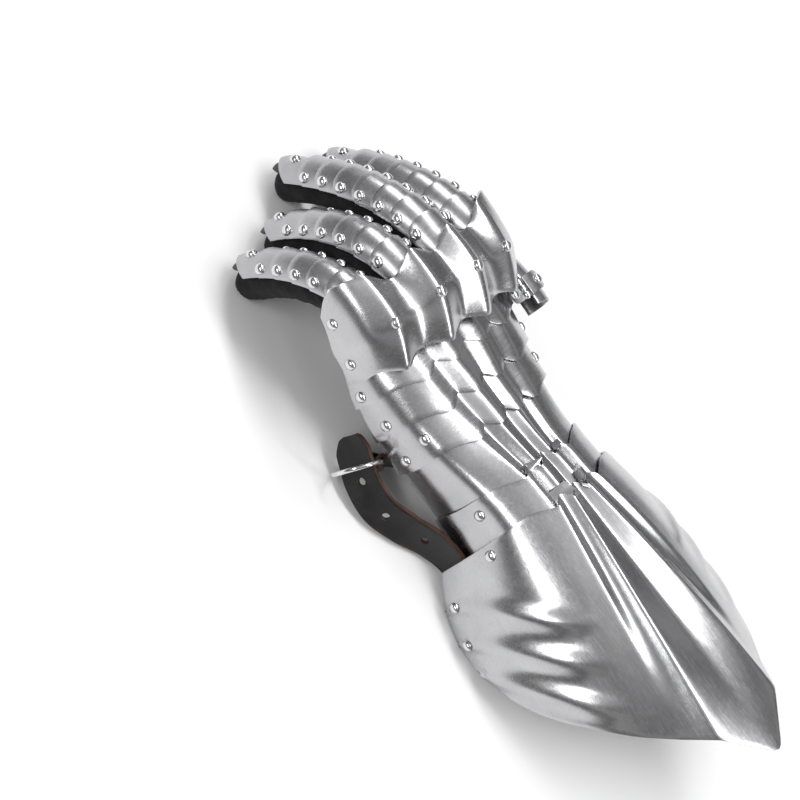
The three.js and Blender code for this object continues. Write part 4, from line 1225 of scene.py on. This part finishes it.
# ------------------------------------------------------------------ hinge of the thumb plates
@dataclass
class ThumbHinge:
    """A small strap hinge between the first back lame and the thumb's base plate."""

    shop: PlateShop
    width: float = 10.0
    leaf: float = 1.0
    barrel: float = 2.2
    pin: float = 1.0
    play: float = 0.35
    hand_leaf: tuple[tuple[float, float], ...] = ((39.6, 59.6), (47.4, 55.4), (54.3, 49.9))
    thumb_leaf: tuple[tuple[float, float], ...] = ((73.0, 45.0), (68.0, 48.2), (64.0, 49.6), (59.7, 49.7))

    def leaf_piece(self, name: str, path: Sequence[tuple[float, float]]) -> bpy.types.Object:
        """One leaf: a thin strip with a round riveted end."""
        points = [Vector((0, y, z + self.leaf)) for y, z in path]
        rows = []
        parts = 8 * (len(points) - 1)
        for i in range(parts + 1):
            centre = along_curve(points, i * (len(points) - 1) / parts)
            travelled = (centre - points[0]).length
            half = self.width / 2
            if travelled < half:
                half = math.sqrt(half * half - (half - travelled) ** 2) * 0.92 + 0.4
            rows.append([Vector((HINGE_CENTRE.x + half * k / 4, centre.y, centre.z)) for k in range(-4, 5)])
        piece = Workshop.sheet_piece(name, rows, Vector((0, 0, 1)))
        piece.data.materials.append(self.shop.finishes.lame_steel)
        Workshop.thicken(piece, self.leaf, 0.15)
        Workshop.smooth(piece)
        return piece

    def cylinder(self, start: float, end: float, radius: float) -> bpy.types.Object:
        """Rod on the hinge's axis with softly rounded ends."""
        bpy.ops.object.select_all(action="DESELECT")
        centre = Workshop.place(HINGE_CENTRE + Vector(((start + end) / 2, 0, 0)))
        bpy.ops.mesh.primitive_cylinder_add(
            vertices=28, radius=radius * MM, depth=(end - start) * MM, rotation=(0, math.pi / 2, 0), location=centre
        )
        rod = bpy.context.object
        bpy.ops.object.transform_apply(location=True, rotation=True, scale=True)
        rounding = rod.modifiers.new("edge", "BEVEL")
        rounding.width = 0.25 * MM
        rounding.segments = 2
        Workshop.apply_all(rod)
        rod.data.materials.append(self.shop.finishes.rivet)
        Workshop.smooth(rod)
        return rod

    def build(self) -> None:
        """Make both leaves and the pin."""
        half, inner = self.width / 2, self.width / 6
        hand = self.leaf_piece("hinge_hand_leaf_steel", self.hand_leaf)
        Workshop.join(hand, [
            self.cylinder(-half, -inner - self.play, self.barrel),
            self.cylinder(inner + self.play, half, self.barrel),
            self.shop.rivets.put(Vector((HINGE_CENTRE.x, 44.0, 58.2)), Vector((0, 0.45, 0.89))),
        ])
        Workshop.hand_in(hand, Slot.STEEL, "hinge_hand_leaf")
        thumb = self.leaf_piece("hinge_thumb_leaf_steel", self.thumb_leaf)
        Workshop.join(thumb, [
            self.cylinder(-inner, inner, self.barrel),
            self.shop.rivets.put(Vector((HINGE_CENTRE.x, 69.0, 48.6)), Vector((0, 0.5, 0.86))),
        ])
        Workshop.hand_in(thumb, Slot.STEEL, "hinge_thumb_leaf")
        pin = self.cylinder(-half - 0.6, half + 0.6, self.pin)
        pin.name = "hinge_pin_steel"
        Workshop.hand_in(pin, Slot.STEEL, "hinge_pin")


# ------------------------------------------------------------------ wrist strap and its ring
@dataclass(frozen=True)
class StrapStop:
    """A place on the strap's route, and how far its upper edge tips towards the hand."""

    x: float
    y: float
    z: float
    lean: float


@dataclass
class WristStrap:
    """The strap with its punched holes, the round wire ring and the tab that holds it."""

    finishes: Finishes
    width: float = 18.0
    thickness: float = 2.6
    hole: float = 2.0
    holes: tuple[float, ...] = (3.25, 4.7, 6.1)
    ring_place: float = 6.6
    ring_radius: float = 11.8
    wire: float = 1.2
    tab_width: float = 9.0
    tab_thickness: float = 1.8
    tab_loop: float = 3.1
    tab_turn: float = 60.0
    tab_tail: tuple[tuple[float, float, float], ...] = ((51, -41.0, 16.5), (57, -37, 19.5), (63, -35.6, 24))
    route: tuple[StrapStop, ...] = (
        StrapStop(138, -54.5, 13.5, 6),
        StrapStop(122, -49.0, 12.0, 6),
        StrapStop(105, -44.6, 11.5, 8),
        StrapStop(92, -47.0, 10.5, 20),
        StrapStop(78, -54.0, 10.0, 32),
        StrapStop(64, -59.5, 10.5, 34),
        StrapStop(50, -59.5, 12.5, 32),
        StrapStop(38, -56.0, 14.5, 30),
        StrapStop(28, -52.0, 16.0, 30),
    )

    def at(self, place: float) -> tuple[Vector, Vector, Vector, Vector]:
        """Centre, run, width and face axes at a place counted in the route's stops."""
        points = [Vector((s.x, s.y, s.z)) for s in self.route]
        last = len(points) - 1
        place = clamp(place, 0, last)
        i = min(int(place), last - 1)
        lean = math.radians(mix(self.route[i].lean, self.route[i + 1].lean, place - i))
        ahead = along_curve(points, min(place + 0.01, last))
        behind = along_curve(points, max(place - 0.01, 0))
        run = (ahead - behind).normalized()
        raw = Vector((0, math.sin(lean), math.cos(lean)))
        width = (raw - run * raw.dot(run)).normalized()
        return along_curve(points, place), run, width, run.cross(width)

    def build_strap(self) -> None:
        """Make the strap: a band with a pointed end and raw cut edges."""
        parts = 96
        last = len(self.route) - 1
        rows = []
        for i in range(parts + 1):
            place = last * i / parts
            point, _, width, face = self.at(place)
            left = last - place
            half = self.width / 2 * (1 if left > 0.7 else mix(0.42, 1, math.sqrt(left / 0.7)))
            rows.append([
                point + width * (half * k / 5) + face * (0.5 * math.cos(math.pi * k / 10) - 0.3) for k in range(-5, 6)
            ])
        strap = Workshop.sheet_piece("wrist_strap_leather", rows, Vector((0, -1, 0)))
        strap.data.materials.append(self.finishes.strap)
        strap.data.materials.append(self.finishes.raw_edge)
        Workshop.thicken(strap, self.thickness, 0.35, 0.0, True)
        for place in self.holes:
            self.punch(strap, place)
        Workshop.smooth(strap, 40)
        Workshop.hand_in(strap, Slot.STRAP, "wrist_strap")

    def punch(self, strap: bpy.types.Object, place: float) -> None:
        """Punch one round hole through the strap."""
        point, _, _, face = self.at(place)
        bpy.ops.object.select_all(action="DESELECT")
        bpy.ops.mesh.primitive_cylinder_add(
            vertices=28,
            radius=self.hole * MM,
            depth=10 * MM,
            rotation=face.to_track_quat("Z", "Y").to_euler(),
            location=Workshop.place(point),
        )
        punch = bpy.context.object
        bpy.ops.object.transform_apply(location=True, rotation=True, scale=True)
        punch.data.materials.append(self.finishes.raw_edge)
        cut = strap.modifiers.new("hole", "BOOLEAN")
        cut.operation = "DIFFERENCE"
        cut.solver = "EXACT"
        cut.material_mode = "TRANSFER"
        cut.object = punch
        Workshop.apply_all(strap)
        bpy.data.objects.remove(punch)

    def build_ring(self) -> None:
        """Make the wire ring round the strap."""
        point, run, width, face = self.at(self.ring_place)
        bpy.ops.object.select_all(action="DESELECT")
        bpy.ops.mesh.primitive_torus_add(
            major_segments=72, minor_segments=18, major_radius=self.ring_radius * MM, minor_radius=self.wire * MM
        )
        ring = bpy.context.object
        ring.name = "buckle_wire_ring"
        turn = Matrix((width, face, width.cross(face))).transposed().to_4x4()
        ring.data.transform(Matrix.Translation(Workshop.place(point)) @ turn)
        ring.data.materials.append(self.finishes.wire)
        Workshop.smooth(ring, 60)
        Workshop.hand_in(ring, Slot.WIRE, "buckle_ring")

    def build_tab(self) -> None:
        """Make the tab: one strip wrapped round the wire, its tail tucked inside the lames."""
        point, run, width, face = self.at(self.ring_place)
        turn = math.radians(self.tab_turn)
        spoke = width * math.cos(turn) + face * math.sin(turn)
        wire = spoke.cross(run).normalized()
        centre = point + spoke * (self.ring_radius - 0.2)
        wraps = 18
        path = []
        for k in range(wraps + 1):
            angle = math.radians(mix(-100, -360, k / wraps))
            path.append(centre + spoke * (self.tab_loop * math.cos(angle)) + run * (self.tab_loop * math.sin(angle)))
        tail = [path[-1], *(Vector(p) for p in self.tab_tail)]
        tail_parts = 8 * (len(tail) - 1)
        path += [along_curve(tail, (i + 1) * (len(tail) - 1) / tail_parts) for i in range(tail_parts)]
        rows = []
        for i, p in enumerate(path):
            ahead = (path[min(i + 1, len(path) - 1)] - path[max(i - 1, 0)]).normalized()
            across = (wire - ahead * wire.dot(ahead)).normalized()
            rows.append([p + across * (self.tab_width / 2 * k / 3) for k in range(-3, 4)])
        tab = Workshop.sheet_piece("buckle_leather_tab", rows, Vector((0, 0, -1)))
        tab.data.materials.append(self.finishes.strap)
        tab.data.materials.append(self.finishes.raw_edge)
        Workshop.thicken(tab, self.tab_thickness, 0.3, 0.0, True)
        Workshop.smooth(tab, 40)
        Workshop.hand_in(tab, Slot.STRAP, "buckle_tab")

    def build(self) -> None:
        """Make the strap, the ring and the tab."""
        self.build_strap()
        self.build_ring()
        self.build_tab()


# ------------------------------------------------------------------ studio
@dataclass(frozen=True)
class SoftBox:
    """A large area light: where it stands, what it faces, its size and its power."""

    name: str
    place: tuple[float, float, float]
    size: tuple[float, float]
    power: float


@dataclass
class Studio:
    """Pale floor, soft boxes and the camera."""

    view_centre: Vector = field(default_factory=lambda: Vector((28.4, -45.1, 56.4)))
    elevation: float = 55.0
    roll_across: float = 0.59
    roll_along: float = 0.807
    distance: float = 1.011
    lens: float = 100.0
    world_light: float = 1.0
    room_tones: tuple[tuple[float, float], ...] = ((0.0, 0.3), (0.3, 0.12), (0.5, 0.42), (0.68, 0.14), (0.95, 0.5))
    boxes: tuple[SoftBox, ...] = (
        SoftBox("key_box", (-0.5, -1.2, 1.2), (1.2, 0.25), 9.6),
        SoftBox("top_box", (0.1, 0.3, 1.5), (1.4, 0.25), 12.6),
        SoftBox("side_strip", (1.1, 0.2, 0.9), (0.2, 1.0), 5.4),
        SoftBox("back_strip", (-0.9, 0.6, 0.9), (0.25, 0.9), 6.0),
    )

    def build_floor(self) -> None:
        """Make the floor."""
        bpy.ops.object.select_all(action="DESELECT")
        bpy.ops.mesh.primitive_plane_add(size=8, location=(0, 0, 0))
        floor = bpy.context.object
        floor.name = "studio_floor"
        floor.data.materials.append(PaleFloor("pale_floor").build())

    def build_lights(self) -> None:
        """Make the soft boxes and the room's light."""
        for box in self.boxes:
            lamp = bpy.data.lights.new(box.name, "AREA")
            lamp.shape = "RECTANGLE"
            lamp.size, lamp.size_y = box.size
            lamp.energy = box.power
            light = bpy.data.objects.new(box.name, lamp)
            light.location = box.place
            aim = Vector((0, 0, 0.04)) - light.location
            light.rotation_euler = aim.to_track_quat("-Z", "Y").to_euler()
            bpy.context.scene.collection.objects.link(light)
        world = bpy.context.scene.world or bpy.data.worlds.new("studio_world")
        bpy.context.scene.world = world
        world.use_nodes = True
        tree = world.node_tree
        back = tree.nodes["Background"]
        back.inputs["Strength"].default_value = self.world_light
        split = tree.nodes.new("ShaderNodeSeparateXYZ")
        tree.links.new(tree.nodes.new("ShaderNodeTexCoord").outputs["Generated"], split.inputs[0])
        ramp = tree.nodes.new("ShaderNodeValToRGB")
        tree.links.new(split.outputs["Z"], ramp.inputs["Fac"])
        tree.links.new(ramp.outputs["Color"], back.inputs["Color"])
        stops = ramp.color_ramp.elements
        for height, tone in self.room_tones:
            stop = stops.new(height)
            stop.color = (tone, tone, tone, 1)
        stops.remove(stops[0])
        bpy.context.scene.view_settings.view_transform = "Standard"

    def build_camera(self) -> None:
        """Make the camera above the little-finger side."""
        rise = math.radians(self.elevation)
        towards = Vector((0, -math.cos(rise), math.sin(rise)))
        up = Vector((0, math.sin(rise), math.cos(rise)))
        right = Vector((1, 0, 0)) * self.roll_across + up * self.roll_along
        upwards = Vector((-1, 0, 0)) * self.roll_along + up * self.roll_across
        size = math.hypot(self.roll_across, self.roll_along)
        turn = Matrix((right / size, upwards / size, towards)).transposed().to_4x4()
        lens = bpy.data.cameras.new("studio_camera")
        lens.lens = self.lens
        camera = bpy.data.objects.new("studio_camera", lens)
        camera.matrix_world = Matrix.Translation(Workshop.place(self.view_centre) + towards * self.distance) @ turn
        bpy.context.scene.collection.objects.link(camera)
        bpy.context.scene.camera = camera

    def build(self) -> None:
        """Make the whole studio."""
        self.build_floor()
        self.build_lights()
        self.build_camera()


def make_digits() -> list[Digit]:
    """The four fingers and the thumb."""
    fingers = [
        Digit("pinky", Vector((-14, -39, 76.4)), 14, 5, 19.5),
        Digit("ring", Vector((-13, -13, 81.6)), 6, 6, 20.6),
        Digit("middle", Vector((-13, 13, 82.2)), 5, 7, 20.8),
        Digit("index", Vector((-13, 39, 77.0)), 12, 6, 20.6),
    ]
    thumb = Thumb(
        "thumb",
        Vector((32, 72.5, 37.8)),
        -8,
        4,
        20.4,
        ahead=THUMB_AHEAD,
        out=THUMB_OUT,
        bias=0.62,
        first_end=THUMB_BASE_LENGTH + LAME_PITCH - 1,
        stall_from=18,
        strip_from=20,
        end_angle=100,
    )
    return [*fingers, thumb]


def main() -> None:
    """Build the gauntlet and its studio."""
    logging.basicConfig(level=logging.INFO, format="%(name)s: %(message)s")
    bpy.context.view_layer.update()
    Studio().build()
    finishes = Finishes()
    shop = PlateShop(finishes, RivetSet(finishes.rivet))
    BackOfHand(shop).build()
    KnucklePlate(shop).build()
    Cuff(shop).build()
    for digit in make_digits():
        digit.build(shop)
        if isinstance(digit, Thumb):
            digit.build_base(shop)
    GloveHand(finishes).build()
    ThumbHinge(shop).build()
    WristStrap(finishes).build()


if __name__ == "__main__":
    main()
